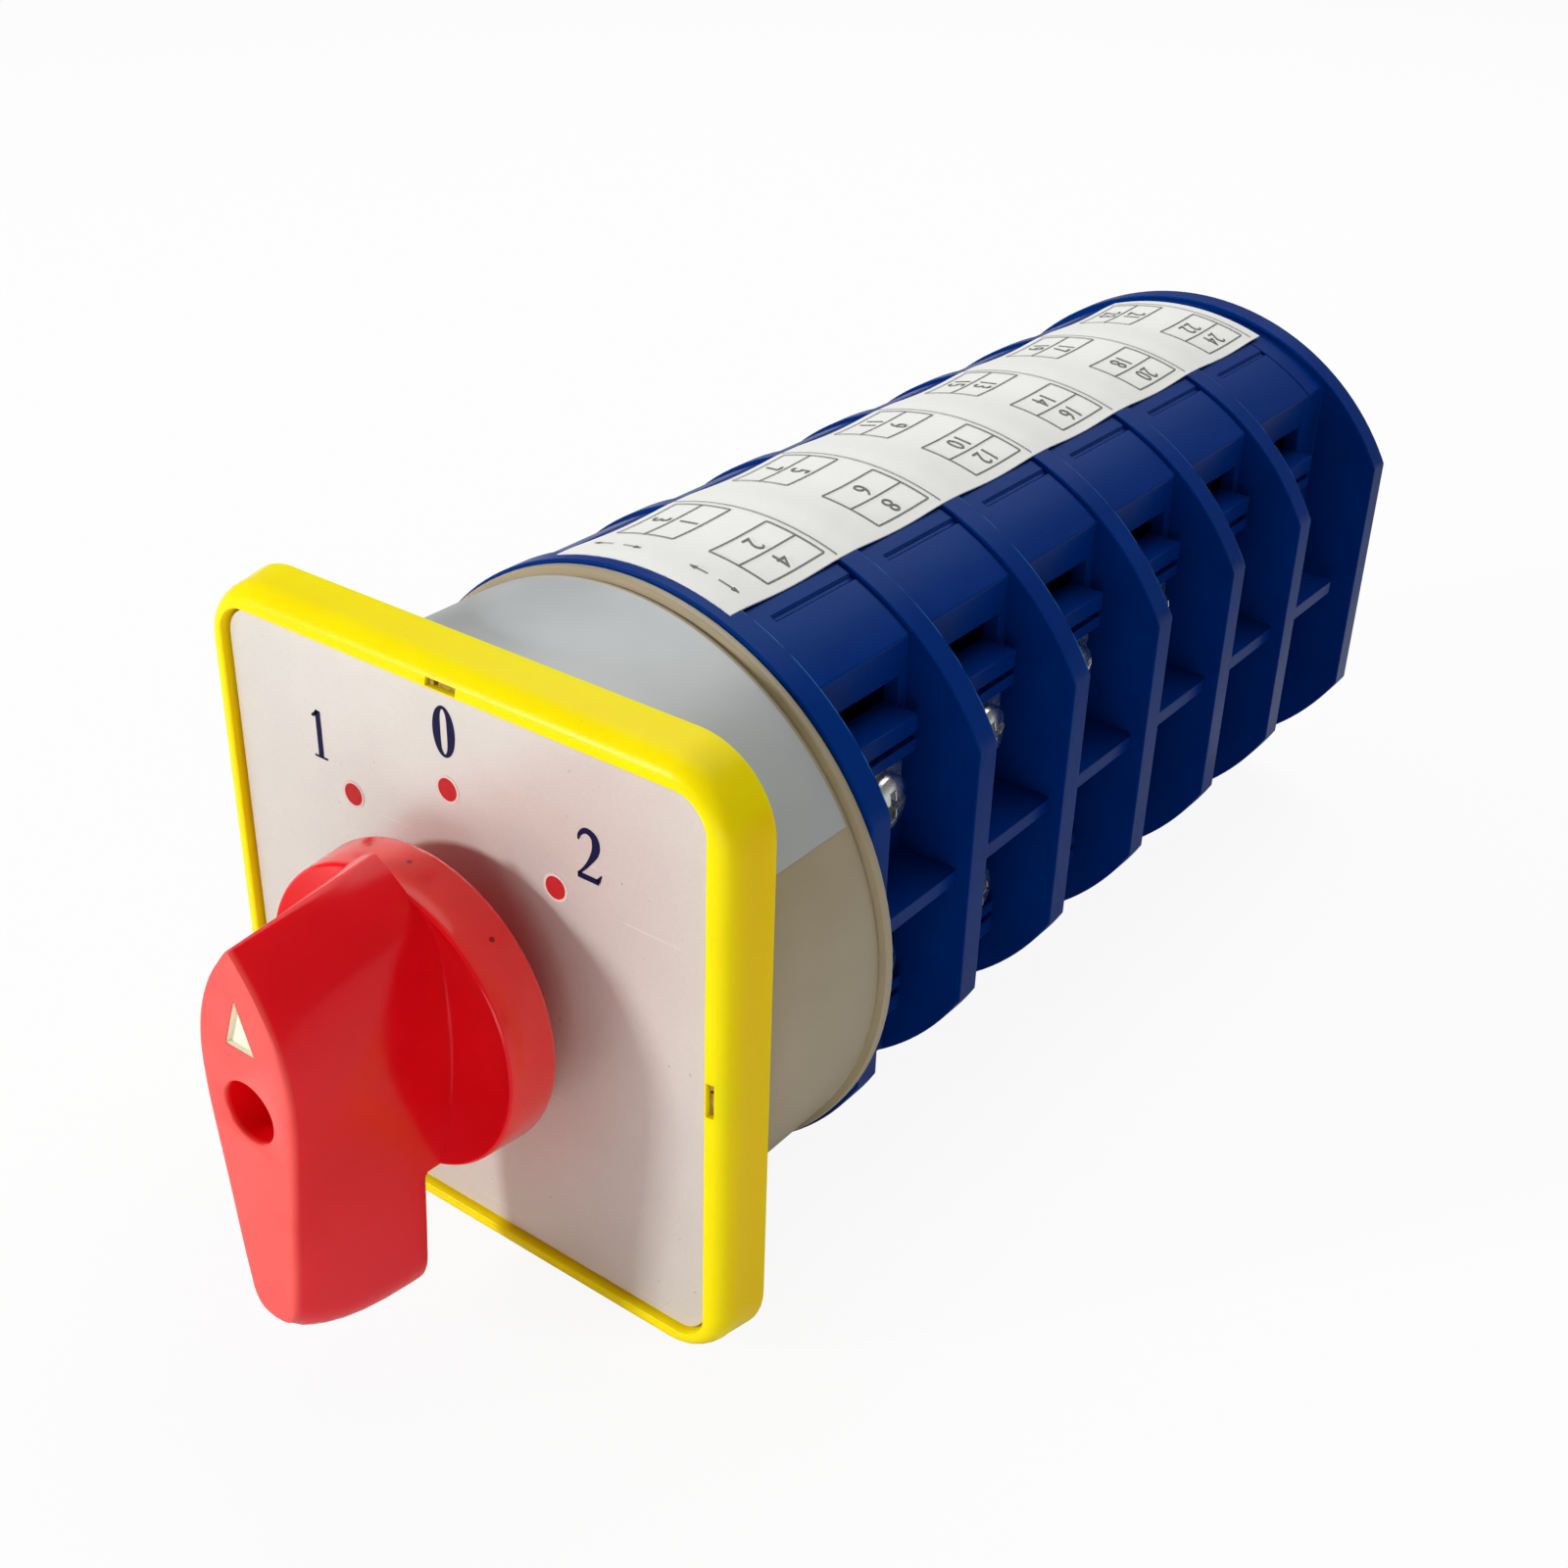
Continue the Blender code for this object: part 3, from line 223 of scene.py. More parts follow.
CARD_AIM = (0.0, -25 * MM, -10 * MM)
OVERHEAD_AIM = (0.0, 80 * MM, 0.0)
add_lamp("front_left_lamp", (-0.55, -0.79, 0.26), distance=0.9, size=0.1, watts=5.8)
add_lamp("card_lamp", (120, -135, -20), distance=0.185, size=0.12, watts=0.16, aim=CARD_AIM)
add_lamp("overhead_lamp", (-0.2, 0.42, 1.0), distance=0.9, size=0.95, watts=6.8, aim=OVERHEAD_AIM)


# Bezel: the square yellow frame that shows on the panel. It is moulded in glossy plastic
# with tapered sides, a rounded rim, a recess for the dial plate and two notches for clips.
BEZEL_HALF = 32.0 * MM
BEZEL_FRONT = -5.3 * MM
BEZEL_FLOOR = -3.2 * MM
RECESS_HALF = 28.9 * MM
NOTCH_HALF = 1.8 * MM
NOTCH_DEPTH = 0.8 * MM
NOTCH_LIP = 0.25 * MM
NOTCH_FLOOR = BEZEL_FLOOR - 0.4 * MM
NOTCH_QUARTERS = (0, 1)
RIM_START = 29.25
RIM_WIDTH = 2.25
RIM_TOP = -5.3
RIM_DROP = 2.6
RIM_STEPS = 9
RIM_CORNER = 4.0
CORNER_GROWTH = 1.5
# Half width, corner radius and depth of the frame's section in millimetres: from the hole
# over the recess, its lip, the rounded rim and the tapered side to the back
BEZEL_SECTION = [
    (9.0, 9.0, 0.0), (9.0, 9.0, -3.2), (28.9, 3.3, -3.2), (28.9, 3.3, -5.05),
    (28.95, 3.35, -5.2), (29.07, 3.6, -5.28),
]
for index in range(RIM_STEPS + 1):
    angle = index / RIM_STEPS * math.pi / 2
    half = RIM_START + RIM_WIDTH * math.sin(angle)
    corner = RIM_CORNER + CORNER_GROWTH * (half - RIM_START)
    BEZEL_SECTION.append((half, corner, RIM_TOP + RIM_DROP * (1.0 - math.cos(angle))))
BEZEL_SECTION += [(31.94, 7.85, -0.2), (31.98, 7.9, -0.05), (31.9, 7.8, 0.0)]
OVERCUT = 1.0 * MM
SHARP_ANGLE = math.radians(30.0)


def add_block(bm, across, along, upright, turn=None):
    """Add a box between three ranges, turned about the shaft afterwards if asked."""
    ranges = (across, along, upright)
    middle = [(low + high) / 2 for low, high in ranges]
    sizes = [high - low for low, high in ranges]
    matrix = Matrix.Translation(middle) @ Matrix.Diagonal((*sizes, 1.0))
    if turn is not None:
        matrix = Matrix.Rotation(turn, 4, "Y") @ matrix
    return bmesh.ops.create_cube(bm, size=1.0, matrix=matrix)["verts"]


def add_drum(bm, radius, start, end, end_radius=None, segments=96, axis="Y", across=(0.0, 0.0)):
    """Add a round bar or cone along an axis; across is its place on the other two."""
    turns = {
        "X": Matrix.Rotation(math.pi / 2, 4, "Y"),
        "Y": Matrix.Rotation(-math.pi / 2, 4, "X"),
        "Z": Matrix.Identity(4),
    }
    middle = list(across)
    middle.insert("XYZ".index(axis), (start + end) / 2)
    return bmesh.ops.create_cone(
        bm,
        cap_ends=True,
        segments=segments,
        radius1=radius,
        radius2=radius if end_radius is None else end_radius,
        depth=end - start,
        matrix=Matrix.Translation(middle) @ turns[axis],
    )["verts"]


def round_edges(bm, edges, offset, segments):
    bmesh.ops.bevel(
        bm, geom=list(edges), offset=offset, segments=segments, profile=0.5, affect="EDGES", material=-1
    )


def edges_along(bm, axis):
    """The straight edges that run along one axis."""
    index = "XYZ".index(axis)
    found = []
    for edge in bm.edges:
        run = edge.verts[0].co - edge.verts[1].co
        if run.length > 0 and abs(run[index]) > 0.999 * run.length:
            found.append(edge)
    return found


def rounded_block(half, corner, start, end, steps=10):
    """A square slab across the shaft with round corners."""
    bm = bmesh.new()
    add_block(bm, (-half, half), (start, end), (-half, half))
    round_edges(bm, edges_along(bm, "Y"), corner, steps)
    return bm


def as_object(name, bm):
    mesh = bpy.data.meshes.new(name)
    bm.to_mesh(mesh)
    bm.free()
    made = bpy.data.objects.new(name, mesh)
    bpy.context.scene.collection.objects.link(made)
    return made


def carve(base, cut=(), join=(), merge_flats=True):
    """Join bmeshes to a base and then cut others out of it."""
    body = as_object("body", base)
    tools = []
    for operation, group in (("UNION", join), ("DIFFERENCE", cut)):
        for bm in group:
            tool = as_object("tool", bm)
            modifier = body.modifiers.new(operation, "BOOLEAN")
            modifier.operation = operation
            modifier.solver = "EXACT"
            modifier.object = tool
            tools.append(tool)
    bpy.context.view_layer.update()
    mesh = bpy.data.meshes.new_from_object(body.evaluated_get(bpy.context.evaluated_depsgraph_get()))
    for used in (body, *tools):
        bpy.data.objects.remove(used)
    bm = bmesh.new()
    bm.from_mesh(mesh)
    bmesh.ops.remove_doubles(bm, verts=bm.verts, dist=0.004 * MM)
    if merge_flats:
        bmesh.ops.dissolve_limit(bm, angle_limit=math.radians(1.0), verts=bm.verts, edges=bm.edges)
    bmesh.ops.recalc_face_normals(bm, faces=bm.faces)
    return bm


def finish_piece(name, bm, look, body, replaced=(), rounding=None, steps=2):
    """Make a bmesh a piece with its material and body, and hide the solids it stands for."""
    piece = as_object(name, bm)
    piece.data.materials.append(look)
    piece.data.shade_smooth()
    if rounding:
        modifier = piece.modifiers.new("rounding", "BEVEL")
        modifier.width = rounding
        modifier.segments = steps
        modifier.limit_method = "ANGLE"
        modifier.angle_limit = SHARP_ANGLE
        modifier.use_clamp_overlap = False
        modifier.harden_normals = True
    else:
        piece.data.set_sharp_from_angle(angle=SHARP_ANGLE)
    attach(piece, body)
    if replaced:
        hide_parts(*replaced)
    return piece


def square_ring(bm, half, corner, depth, steps=12):
    """One rounded square across the shaft. Where half and corner agree it is a circle."""
    ring = []
    for quarter in range(4):
        side_x = 1 if quarter in (0, 3) else -1
        side_z = 1 if quarter < 2 else -1
        for step in range(steps + 1):
            angle = (quarter + step / steps) * math.pi / 2
            x = (half - corner) * side_x + corner * math.cos(angle)
            z = (half - corner) * side_z + corner * math.sin(angle)
            ring.append(bm.verts.new((x * MM, depth * MM, z * MM)))
    return ring


def skin(bm, rings, closed=False):
    """Close the space between rings of equal counts, and then both ends or last to first."""
    pairs = list(zip(rings, rings[1:]))
    if closed:
        pairs.append((rings[-1], rings[0]))
    else:
        bm.faces.new(rings[0])
        bm.faces.new(rings[-1])
    for near, far in pairs:
        for index, vert in enumerate(near):
            after = (index + 1) % len(near)
            bm.faces.new((vert, near[after], far[after], far[index]))
    bmesh.ops.recalc_face_normals(bm, faces=bm.faces)


body = bmesh.new()
skin(body, [square_ring(body, *part) for part in BEZEL_SECTION], closed=True)
bmesh.ops.remove_doubles(body, verts=body.verts, dist=0.001 * MM)
notches = bmesh.new()
for quarter in NOTCH_QUARTERS:
    reach = (RECESS_HALF + NOTCH_LIP, RECESS_HALF + NOTCH_LIP + NOTCH_DEPTH)
    depth = (BEZEL_FRONT - OVERCUT, NOTCH_FLOOR)
    add_block(notches, (-NOTCH_HALF, NOTCH_HALF), depth, reach, turn=quarter * math.pi / 2)
yellow, where = new_finish("moulded_yellow")
mottle = where.noise(6 * MM, 3.0)
peel = where.noise(0.9 * MM, 2.0)
dust = where.noise(0.5 * MM, 4.0).step(0.72, 0.78)
across = where.parts()[0]
# Painted shade: both sides of the frame, left and right, are coloured a deeper orange yellow, as a side in
# shade looks.
sides = (across * across).step((BEZEL_HALF - 1.3 * MM) ** 2, (BEZEL_HALF - 0.3 * MM) ** 2)
paint = sides.blend(mottle.blend((0.90, 0.72, 0.0), (0.95, 0.79, 0.001)), (0.95, 0.63, 0.0))
set_finish(
    yellow,
    Base_Color=(dust * 0.25).blend(paint, (0.42, 0.33, 0.02)),
    Roughness=0.24 + 0.12 * mottle + 0.1 * dust,
    IOR=1.3,
    Specular_IOR_Level=0.2,
    Subsurface_Weight=0.35,
    Subsurface_Radius=(1.0, 0.55, 0.02),
    Subsurface_Scale=2.5 * MM,
    Normal=peel.relief(0.015 * MM),
)
frame_body = carve(body, (notches,), merge_flats=False)
finish_piece("bezel_frame", frame_body, yellow, "housing", ["bezel"])


# Mounting clips: small brass-coloured spring tabs that hold the dial plate. Each fills one
# of the bezel's two notches, at the middle of its top and of its right side.
CLIP_TOP = -4.95 * MM
CLIP_GAP = 0.08 * MM
CLIP_FLOOR = BEZEL_FLOOR - 0.45 * MM
# Left end, right end and drop of each step of a tab's top edge, in millimetres
CLIP_STEPS = ((-1.7, -1.05, 0.0), (-1.05, -0.6, 0.6), (-0.6, 1.7, 0.15))
brass, where = new_finish("clip_brass")
smudge = where.noise(0.7 * MM, 4.0)
set_finish(
    brass,
    Base_Color=smudge.step(0.4, 0.7).blend((0.46, 0.32, 0.045), (0.24, 0.15, 0.02)),
    Metallic=0.5,
    Roughness=0.35 + 0.25 * smudge,
)
clips = bmesh.new()
for quarter in NOTCH_QUARTERS:
    reach = (RECESS_HALF + NOTCH_LIP + CLIP_GAP, RECESS_HALF + NOTCH_LIP + NOTCH_DEPTH - CLIP_GAP)
    for left, right, drop in CLIP_STEPS:
        depth = (CLIP_TOP + drop * MM, CLIP_FLOOR)
        add_block(clips, (left * MM, right * MM), depth, reach, turn=quarter * math.pi / 2)
finish_piece("dial_plate_clips", clips, brass, "housing")


# Dial plate: a thin metal plate with a satin silver face that lies in the bezel's
# recess. The knob hides the hole that the shaft comes through.
PLATE_FRONT = -4.5 * MM
PLATE_BACK = -3.5 * MM
PLATE_HALF = 28.6 * MM
PLATE_CORNER = 3.0 * MM
PLATE_HOLE = 5.5 * MM
silver, where = new_finish("satin_silver")
grain = where.noise(0.22 * MM, 3.0)
cloud = where.noise(9 * MM, 2.0)
specks = where.noise(0.6 * MM, 1.0).step(0.78, 0.82)
turned = {"Vector": where, "Rotation": (0.0, 0.9, 0.0), "Scale": (0.03, 1.0, 1.0)}
scratches = where.node("ShaderNodeMapping", {}, turned).noise(0.35 * MM, 0.0).step(0.82, 0.84)
metal = (grain * 0.5 + cloud * 0.5).blend((0.615, 0.58, 0.535), (0.775, 0.745, 0.69))
marked = (specks * 0.5).blend(metal, (0.30, 0.27, 0.25))
set_finish(
    silver,
    Base_Color=(scratches * 0.3).blend(marked, (0.92, 0.90, 0.88)),
    Metallic=0.45,
    Roughness=0.36 + 0.16 * grain,
    Normal=grain.relief(0.01 * MM, 0.6),
)
hole = bmesh.new()
add_drum(hole, PLATE_HOLE, PLATE_FRONT - OVERCUT, PLATE_BACK + OVERCUT)
plate = carve(rounded_block(PLATE_HALF, PLATE_CORNER, PLATE_FRONT, PLATE_BACK), (hole,))
finish_piece("dial_plate_metal", plate, silver, "housing", ["dial_plate"], 0.12 * MM)


# Dial marks: the position numbers 1, 0 and 2 in thin dark blue letters with serifs,
# and a red dot for each. All are screen printed, so they stand hardly above the plate.
INK_HEIGHT = 0.03 * MM
INK_GAP = 0.01 * MM
INK_WEIGHT = 1.25
NUMBER_HEIGHT = 5.0 * MM
DOT_RADIUS = 1.12 * MM
HALO_RADIUS = 1.38 * MM
NUMBER_PLACES = {"1": (-17.1, 18.7), "0": (-0.7, 24.7), "2": (15.85, 18.7)}
DOT_PLACES = ((-13.2, 13.8), (-0.67, 18.95), (11.9, 13.9))


def smooth_path(points, steps=10):
    """A curve that passes through the given points, which hold any number of values."""
    padded = [points[0], *points, points[-1]]
    path = []
    for a, b, c, d in zip(padded, padded[1:], padded[2:], padded[3:]):
        for index in range(steps):
            t = index / steps
            path.append(tuple(
                0.5 * (
                    2 * q + (r - p) * t + (2 * p - 5 * q + 4 * r - s) * t * t
                    + (3 * q - p - 3 * r + s) * t ** 3
                )
                for p, q, r, s in zip(a, b, c, d)
            ))
    path.append(tuple(points[-1]))
    return path


def add_stroke(bm, path, weight=1.0):
    """A flat pen stroke in X and Y along points that each hold x, y and half the width."""
    path = [(x, y, half * weight) for x, y, half in path]
    edges = []
    for index, (x, y, half) in enumerate(path):
        before, after = path[max(index - 1, 0)], path[min(index + 1, len(path) - 1)]
        run = Vector((after[0] - before[0], after[1] - before[1])).normalized()
        sides = (-half, half)
        edges.append([bm.verts.new((x + run.y * side, y - run.x * side, 0)) for side in sides])
    for (a, b), (c, d) in zip(edges, edges[1:]):
        bm.faces.new((a, b, d, c))


def add_numeral(bm, numeral):
    """Draw a numeral one unit high that stands on the origin, in thick and thin strokes."""
    if numeral == "1":
        add_stroke(bm, [(-0.02, 0.0, 0.052), (-0.02, 0.99, 0.052)], INK_WEIGHT)
        flag = [(-0.19, 0.86, 0.014), (-0.12, 0.885, 0.03), (-0.03, 0.985, 0.02)]
        add_stroke(bm, smooth_path(flag), INK_WEIGHT)
        add_stroke(bm, [(-0.19, 0.016, 0.016), (0.15, 0.016, 0.016)], INK_WEIGHT)
    elif numeral == "0":
        ring = []
        for index in range(49):
            angle = math.tau * index / 48
            thick = 0.024 + 0.05 * abs(math.cos(angle)) ** 1.5
            ring.append(((0.25 - thick) * math.cos(angle), 0.5 + (0.5 - thick) * math.sin(angle), thick))
        add_stroke(bm, ring, INK_WEIGHT)
    else:
        bow = [
            (-0.23, 0.74, 0.012), (-0.20, 0.85, 0.03), (-0.10, 0.95, 0.042), (0.02, 0.96, 0.05),
            (0.13, 0.88, 0.062), (0.165, 0.74, 0.07), (0.13, 0.58, 0.062), (0.03, 0.40, 0.04),
            (-0.10, 0.22, 0.026), (-0.25, 0.06, 0.018),
        ]
        add_stroke(bm, smooth_path(bow), INK_WEIGHT)
        add_stroke(bm, [(-0.26, 0.045, 0.045), (0.21, 0.045, 0.045)], INK_WEIGHT)
        add_stroke(bm, [(0.19, 0.05, 0.04), (0.275, 0.2, 0.01)], INK_WEIGHT)


def thicken(bm, away):
    """Give flat faces a body towards one side, and close it."""
    top = bmesh.ops.extrude_face_region(bm, geom=list(bm.faces), use_keep_orig=True)
    moved = [item for item in top["geom"] if isinstance(item, bmesh.types.BMVert)]
    bmesh.ops.translate(bm, verts=moved, vec=away)
    bmesh.ops.recalc_face_normals(bm, faces=bm.faces)


def stand_on_plate(bm, x, z, scale):
    """Turn a flat drawing to face forwards at a place on the dial and give it a little thickness."""
    turn = Matrix.Rotation(math.pi / 2, 4, "X")
    place = Matrix.Translation((x * MM, PLATE_FRONT - INK_GAP, z * MM)) @ turn @ Matrix.Scale(scale, 4)
    bmesh.ops.transform(bm, matrix=place, verts=bm.verts)
    thicken(bm, Vector((0, -INK_HEIGHT, 0)))


navy, where = new_finish("navy_ink")
paint = where.noise(0.2 * MM).blend((0.003, 0.003, 0.03), (0.010, 0.010, 0.055))
set_finish(navy, Base_Color=paint, Roughness=0.6, IOR=1.2)
for numeral, (x, z) in NUMBER_PLACES.items():
    bm = bmesh.new()
    add_numeral(bm, numeral)
    bmesh.ops.translate(bm, verts=bm.verts, vec=(0, -0.5, 0))
    stand_on_plate(bm, x, z, NUMBER_HEIGHT)
    finish_piece(f"dial_number_{numeral}", bm, navy, "housing")

dot_red, where = new_finish("red_ink")
paint = where.noise(0.25 * MM).blend((0.42, 0.008, 0.012), (0.55, 0.03, 0.03))
set_finish(dot_red, Base_Color=paint, Roughness=0.5, IOR=1.2)
halo, where = new_finish("pale_ink")
paint = where.noise(0.25 * MM).blend((0.70, 0.50, 0.46), (0.76, 0.60, 0.56))
set_finish(halo, Base_Color=paint, Roughness=0.5)
DOT_LAYERS = (("dot_halos", halo, HALO_RADIUS, 0.0), ("dots", dot_red, DOT_RADIUS, INK_HEIGHT))
for name, look, radius, lift in DOT_LAYERS:
    bm = bmesh.new()
    for x, z in DOT_PLACES:
        front = PLATE_FRONT - INK_GAP - INK_HEIGHT - lift
        add_drum(bm, radius, front, front + INK_HEIGHT, segments=40, across=(x * MM, z * MM))
    finish_piece(f"dial_{name}", bm, look, "housing")


# Knob: one moulding in glossy red plastic, a dished disc with a pointer grip across it.
# The grip's front carries a sunk arrow and a deep hole for the screw that holds the knob.
# There are three dark specks on the disc's side. The front face and the disc's side band are painted a paler
# red as painted sheen, and the tail a lighter red as painted light.
KNOB_FRONT = -29.9 * MM
DISC_RADIUS = 15.5 * MM
DISC_BACK = -8.7 * MM
DISH_FLOOR = -12.5 * MM
HUB_RADIUS = 6.4 * MM
KNOB_BACK = -4.8 * MM
TAIL_FLOOR = -15.4 * MM
TAIL_EDGE = 0.5 * MM
NOSE_FLOOR = -13.9 * MM
TAIL_FULLNESS = 3.3
WELL_DROP = 0.7 * MM
ARROW_CORNERS = [(0.0, 10.95), (1.8, 5.85), (-1.8, 5.85)]
ARROW_DEPTH = 0.55 * MM
BITE = 0.4 * MM
SHAFT_BORE_HALF = 3.8 * MM
SHAFT_BORE_FRONT = -19.9 * MM
GRIP_EDGE = 0.65 * MM
GRIP_EDGE_STEPS = 6
GRIP_LEVELS = (0.08, 0.14, 0.22, 0.32, 0.44, 0.58, 0.76, 0.93)
FILLET = ((0.55, 0.0), (0.3, 0.03), (0.12, 0.1), (0.0, 0.25), (-0.2, 0.55))
# Half widths of the grip at heights above and below the shaft, at its front and its foot
GRIP_FRONT = [
    (0.0, 15.7), (0.3, 15.5), (1.3, 14.2), (2.5, 12.5), (3.7, 10.3), (4.5, 8.4), (5.1, 6.4), (5.5, 4.2),
    (5.65, 1.5), (5.5, -1.6), (5.0, -5.9), (4.4, -10.8), (3.85, -15.9), (3.35, -19.8), (2.85, -22.2),
    (1.75, -23.7), (0.0, -24.1),
]
GRIP_FOOT = [
    (0.0, 17.3), (0.5, 17.1), (2.4, 15.9), (4.2, 14.3), (5.2, 12.0), (5.75, 9.2), (6.0, 6.8), (6.12, 4.3),
    (6.2, 1.5), (6.15, -1.6), (5.85, -5.9), (5.5, -11.0), (5.2, -16.6), (4.9, -22.4), (4.5, -26.2),
    (2.8, -28.4), (0.0, -29.0),
]
# Radius and depth of the disc's face from its middle outwards, over the rim and down the side
DISC_PROFILE = [
    (0.0, -12.5), (6.2, -12.5), (8.5, -12.56), (10.4, -12.72), (12.0, -13.0), (13.2, -13.37), (14.1, -13.76),
    (14.55, -13.99), (14.7, -14.07), (14.82, -14.09), (14.95, -14.02), (15.05, -13.87), (15.1, -13.6),
    (15.13, -13.3), (15.47, -9.3), (15.4, -8.98), (15.2, -8.76), (14.9, -8.7), (0.0, -8.7),
]
# The same for the screw's hole, from its mouth to its floor
WELL_PROFILE = [
    (0.0, -31.0), (3.45, -31.0), (3.3, -29.9), (3.12, -29.84), (3.02, -29.72), (3.0, -29.5), (3.0, -21.9),
    (0.0, -21.9),
]
# Place and radius of each speck, in millimetres
SPECKS = (((-4.47, -10.6, 14.7), 0.22), ((0.96, -11.0, 15.35), 0.2), ((10.4, -10.9, 11.3), 0.2))


def spun(profile, steps=128):
    """A round solid about the shaft from radii and depths in millimetres, ends on the axis."""
    bm = bmesh.new()
    verts = [bm.verts.new((0, y * MM, radius * MM)) for radius, y in profile]
    edges = [bm.edges.new(pair) for pair in zip(verts, verts[1:])]
    bmesh.ops.spin(
        bm, geom=verts + edges, cent=(0, 0, 0), axis=(0, 1, 0), dvec=(0, 0, 0), angle=math.tau, steps=steps,
        use_merge=True,
    )
    bmesh.ops.remove_doubles(bm, verts=bm.verts, dist=0.002 * MM)
    bmesh.ops.recalc_face_normals(bm, faces=bm.faces)
    return bm


def grip_ring(bm, share, depth, inset=0.0, drop=0.0):
    """One closed outline of the grip. share runs from 0 at its front to 1 at its foot.

    inset draws the outline in and drop lowers it. Both are smaller along the sharp nose,
    and where the tail leaves the disc nothing is let out.
    """
    swell = 1.0 - (1.0 - share) ** TAIL_FULLNESS
    half = []
    for (front_x, front_z), (foot_x, foot_z) in zip(GRIP_FRONT, GRIP_FOOT):
        rise = share if front_z > 0 else swell
        half.append((front_x + share * (foot_x - front_x), front_z + rise * (foot_z - front_z)))
    right = smooth_path(half, 6)
    outline = right + [(-x, z) for x, z in reversed(right[1:-1])]
    ring = []
    for index, (x, z) in enumerate(outline):
        before, after = outline[index - 1], outline[(index + 1) % len(outline)]
        run = Vector((after[0] - before[0], after[1] - before[1])).normalized()
        softness = min(1.0, max(0.12, (13.0 - z) / 12.0), max(0.3, (z + 25.5) / 4.5))
        on_disc = min(1.0, max(0.0, (z + 14.4) / 2.0))
        pull = inset * softness if inset > 0 else inset * softness * on_disc
        ring.append(bm.verts.new((x * MM + run.y * pull, depth + drop * softness, z * MM - run.x * pull)))
    return ring


grip = bmesh.new()
rings = [grip_ring(grip, 0.0, KNOB_FRONT, GRIP_EDGE + 0.1 * MM)]
for index in range(GRIP_EDGE_STEPS + 1):
    angle = index / GRIP_EDGE_STEPS * math.pi / 2
    inset, drop = (GRIP_EDGE * (1.0 - turn(angle)) for turn in (math.sin, math.cos))
    rings.append(grip_ring(grip, 0.0, KNOB_FRONT, inset, drop))
for share in GRIP_LEVELS:
    rings.append(grip_ring(grip, share, KNOB_FRONT + share * (DISH_FLOOR - KNOB_FRONT)))
for above, spread in FILLET:
    rings.append(grip_ring(grip, 1.0, DISH_FLOOR - above * MM, -spread * MM))
skin(grip, rings)
behind_grip = bmesh.new()
reach = (-DISC_RADIUS, DISC_RADIUS)
add_block(behind_grip, reach, (TAIL_FLOOR, DISC_BACK), (-3 * DISC_RADIUS, -0.6 * DISC_RADIUS))
add_block(behind_grip, reach, (NOSE_FLOOR, DISC_BACK), (0.6 * DISC_RADIUS, 2 * DISC_RADIUS))
disc_keep = bmesh.new()
add_drum(disc_keep, DISC_RADIUS - 0.5 * MM, TAIL_FLOOR - OVERCUT, DISC_BACK + OVERCUT, segments=128)
grip = carve(grip, (carve(behind_grip, (disc_keep,)),), merge_flats=False)
under_tail = []
for edge in grip.edges:
    level = all(abs(vert.co.y - TAIL_FLOOR) < 0.01 * MM for vert in edge.verts)
    outside = max(vert.co.xz.length for vert in edge.verts) > DISC_RADIUS - 0.45 * MM
    if level and outside and edge.verts[0].co.z < 0:
        under_tail.append(edge)
round_edges(grip, under_tail, TAIL_EDGE, 4)
hub = bmesh.new()
add_drum(hub, HUB_RADIUS, DISC_BACK - BITE, KNOB_BACK)
arrow = bmesh.new()
arrow.faces.new([arrow.verts.new((x * MM, KNOB_FRONT - OVERCUT, z * MM)) for x, z in ARROW_CORNERS])
thicken(arrow, Vector((0, OVERCUT + ARROW_DEPTH, 0)))
bore = bmesh.new()
reach = (-SHAFT_BORE_HALF, SHAFT_BORE_HALF)
add_block(bore, reach, (SHAFT_BORE_FRONT, KNOB_BACK + OVERCUT), reach)
red, where = new_finish("glossy_red")
mottle = where.noise(5 * MM, 3.0)
peel = where.noise(1.2 * MM, 2.0)
dust = where.noise(0.45 * MM, 3.0).step(0.735, 0.78)
across, depth, upright = where.parts()
# Painted sheen: the grip's front face is coloured a paler, pinker red, as it looks when the lamps shine on
# it.
front_sheen = 1.0 - depth.step(KNOB_FRONT + 0.1 * MM, KNOB_FRONT + 0.7 * MM)
out_of_shaft = across * across + upright * upright
outside = out_of_shaft.step((14.9 * MM) ** 2, (15.05 * MM) ** 2)
# Painted sheen: the disc's side band and the tail's flank beyond it get some of the same paler red.
band_sheen = depth.step(NOSE_FLOOR - 0.05 * MM, NOSE_FLOOR + 0.05 * MM) * outside
# Painted light: the knob is coloured a lighter red towards its bottom and tail, as light thrown up from below
# makes it look.
tail = 1.0 - upright.step(-22 * MM, -4 * MM)
plain = mottle.blend((0.76, 0.001, 0.006), (0.86, 0.003, 0.010))
sheen_red = mottle.blend((0.84, 0.07, 0.06), (0.92, 0.10, 0.085))
shade = front_sheen.blend((band_sheen * 0.35).blend((tail * 0.5).blend(plain, (1.0, 0.035, 0.06)), sheen_red), sheen_red)
for speck, size in SPECKS:
    ends = {0: where, 1: [part * MM for part in speck]}
    away = where.node("ShaderNodeVectorMath", {"operation": "DISTANCE"}, ends, out=1)
    shade = (0.8 - 0.8 * away.step(size * MM, (size + 0.12) * MM)).blend(shade, (0.16, 0.004, 0.006))
set_finish(
    red,
    Base_Color=(dust * 0.3).blend(shade, (0.25, 0.01, 0.01)),
    Roughness=0.13 + 0.08 * mottle + 0.15 * dust,
    IOR=1.35,
    Subsurface_Weight=0.3,
    Subsurface_Radius=(1.0, 0.05, 0.08),
    Subsurface_Scale=2.5 * MM,
    Normal=peel.relief(0.012 * MM),
)
well = spun(WELL_PROFILE, 64)
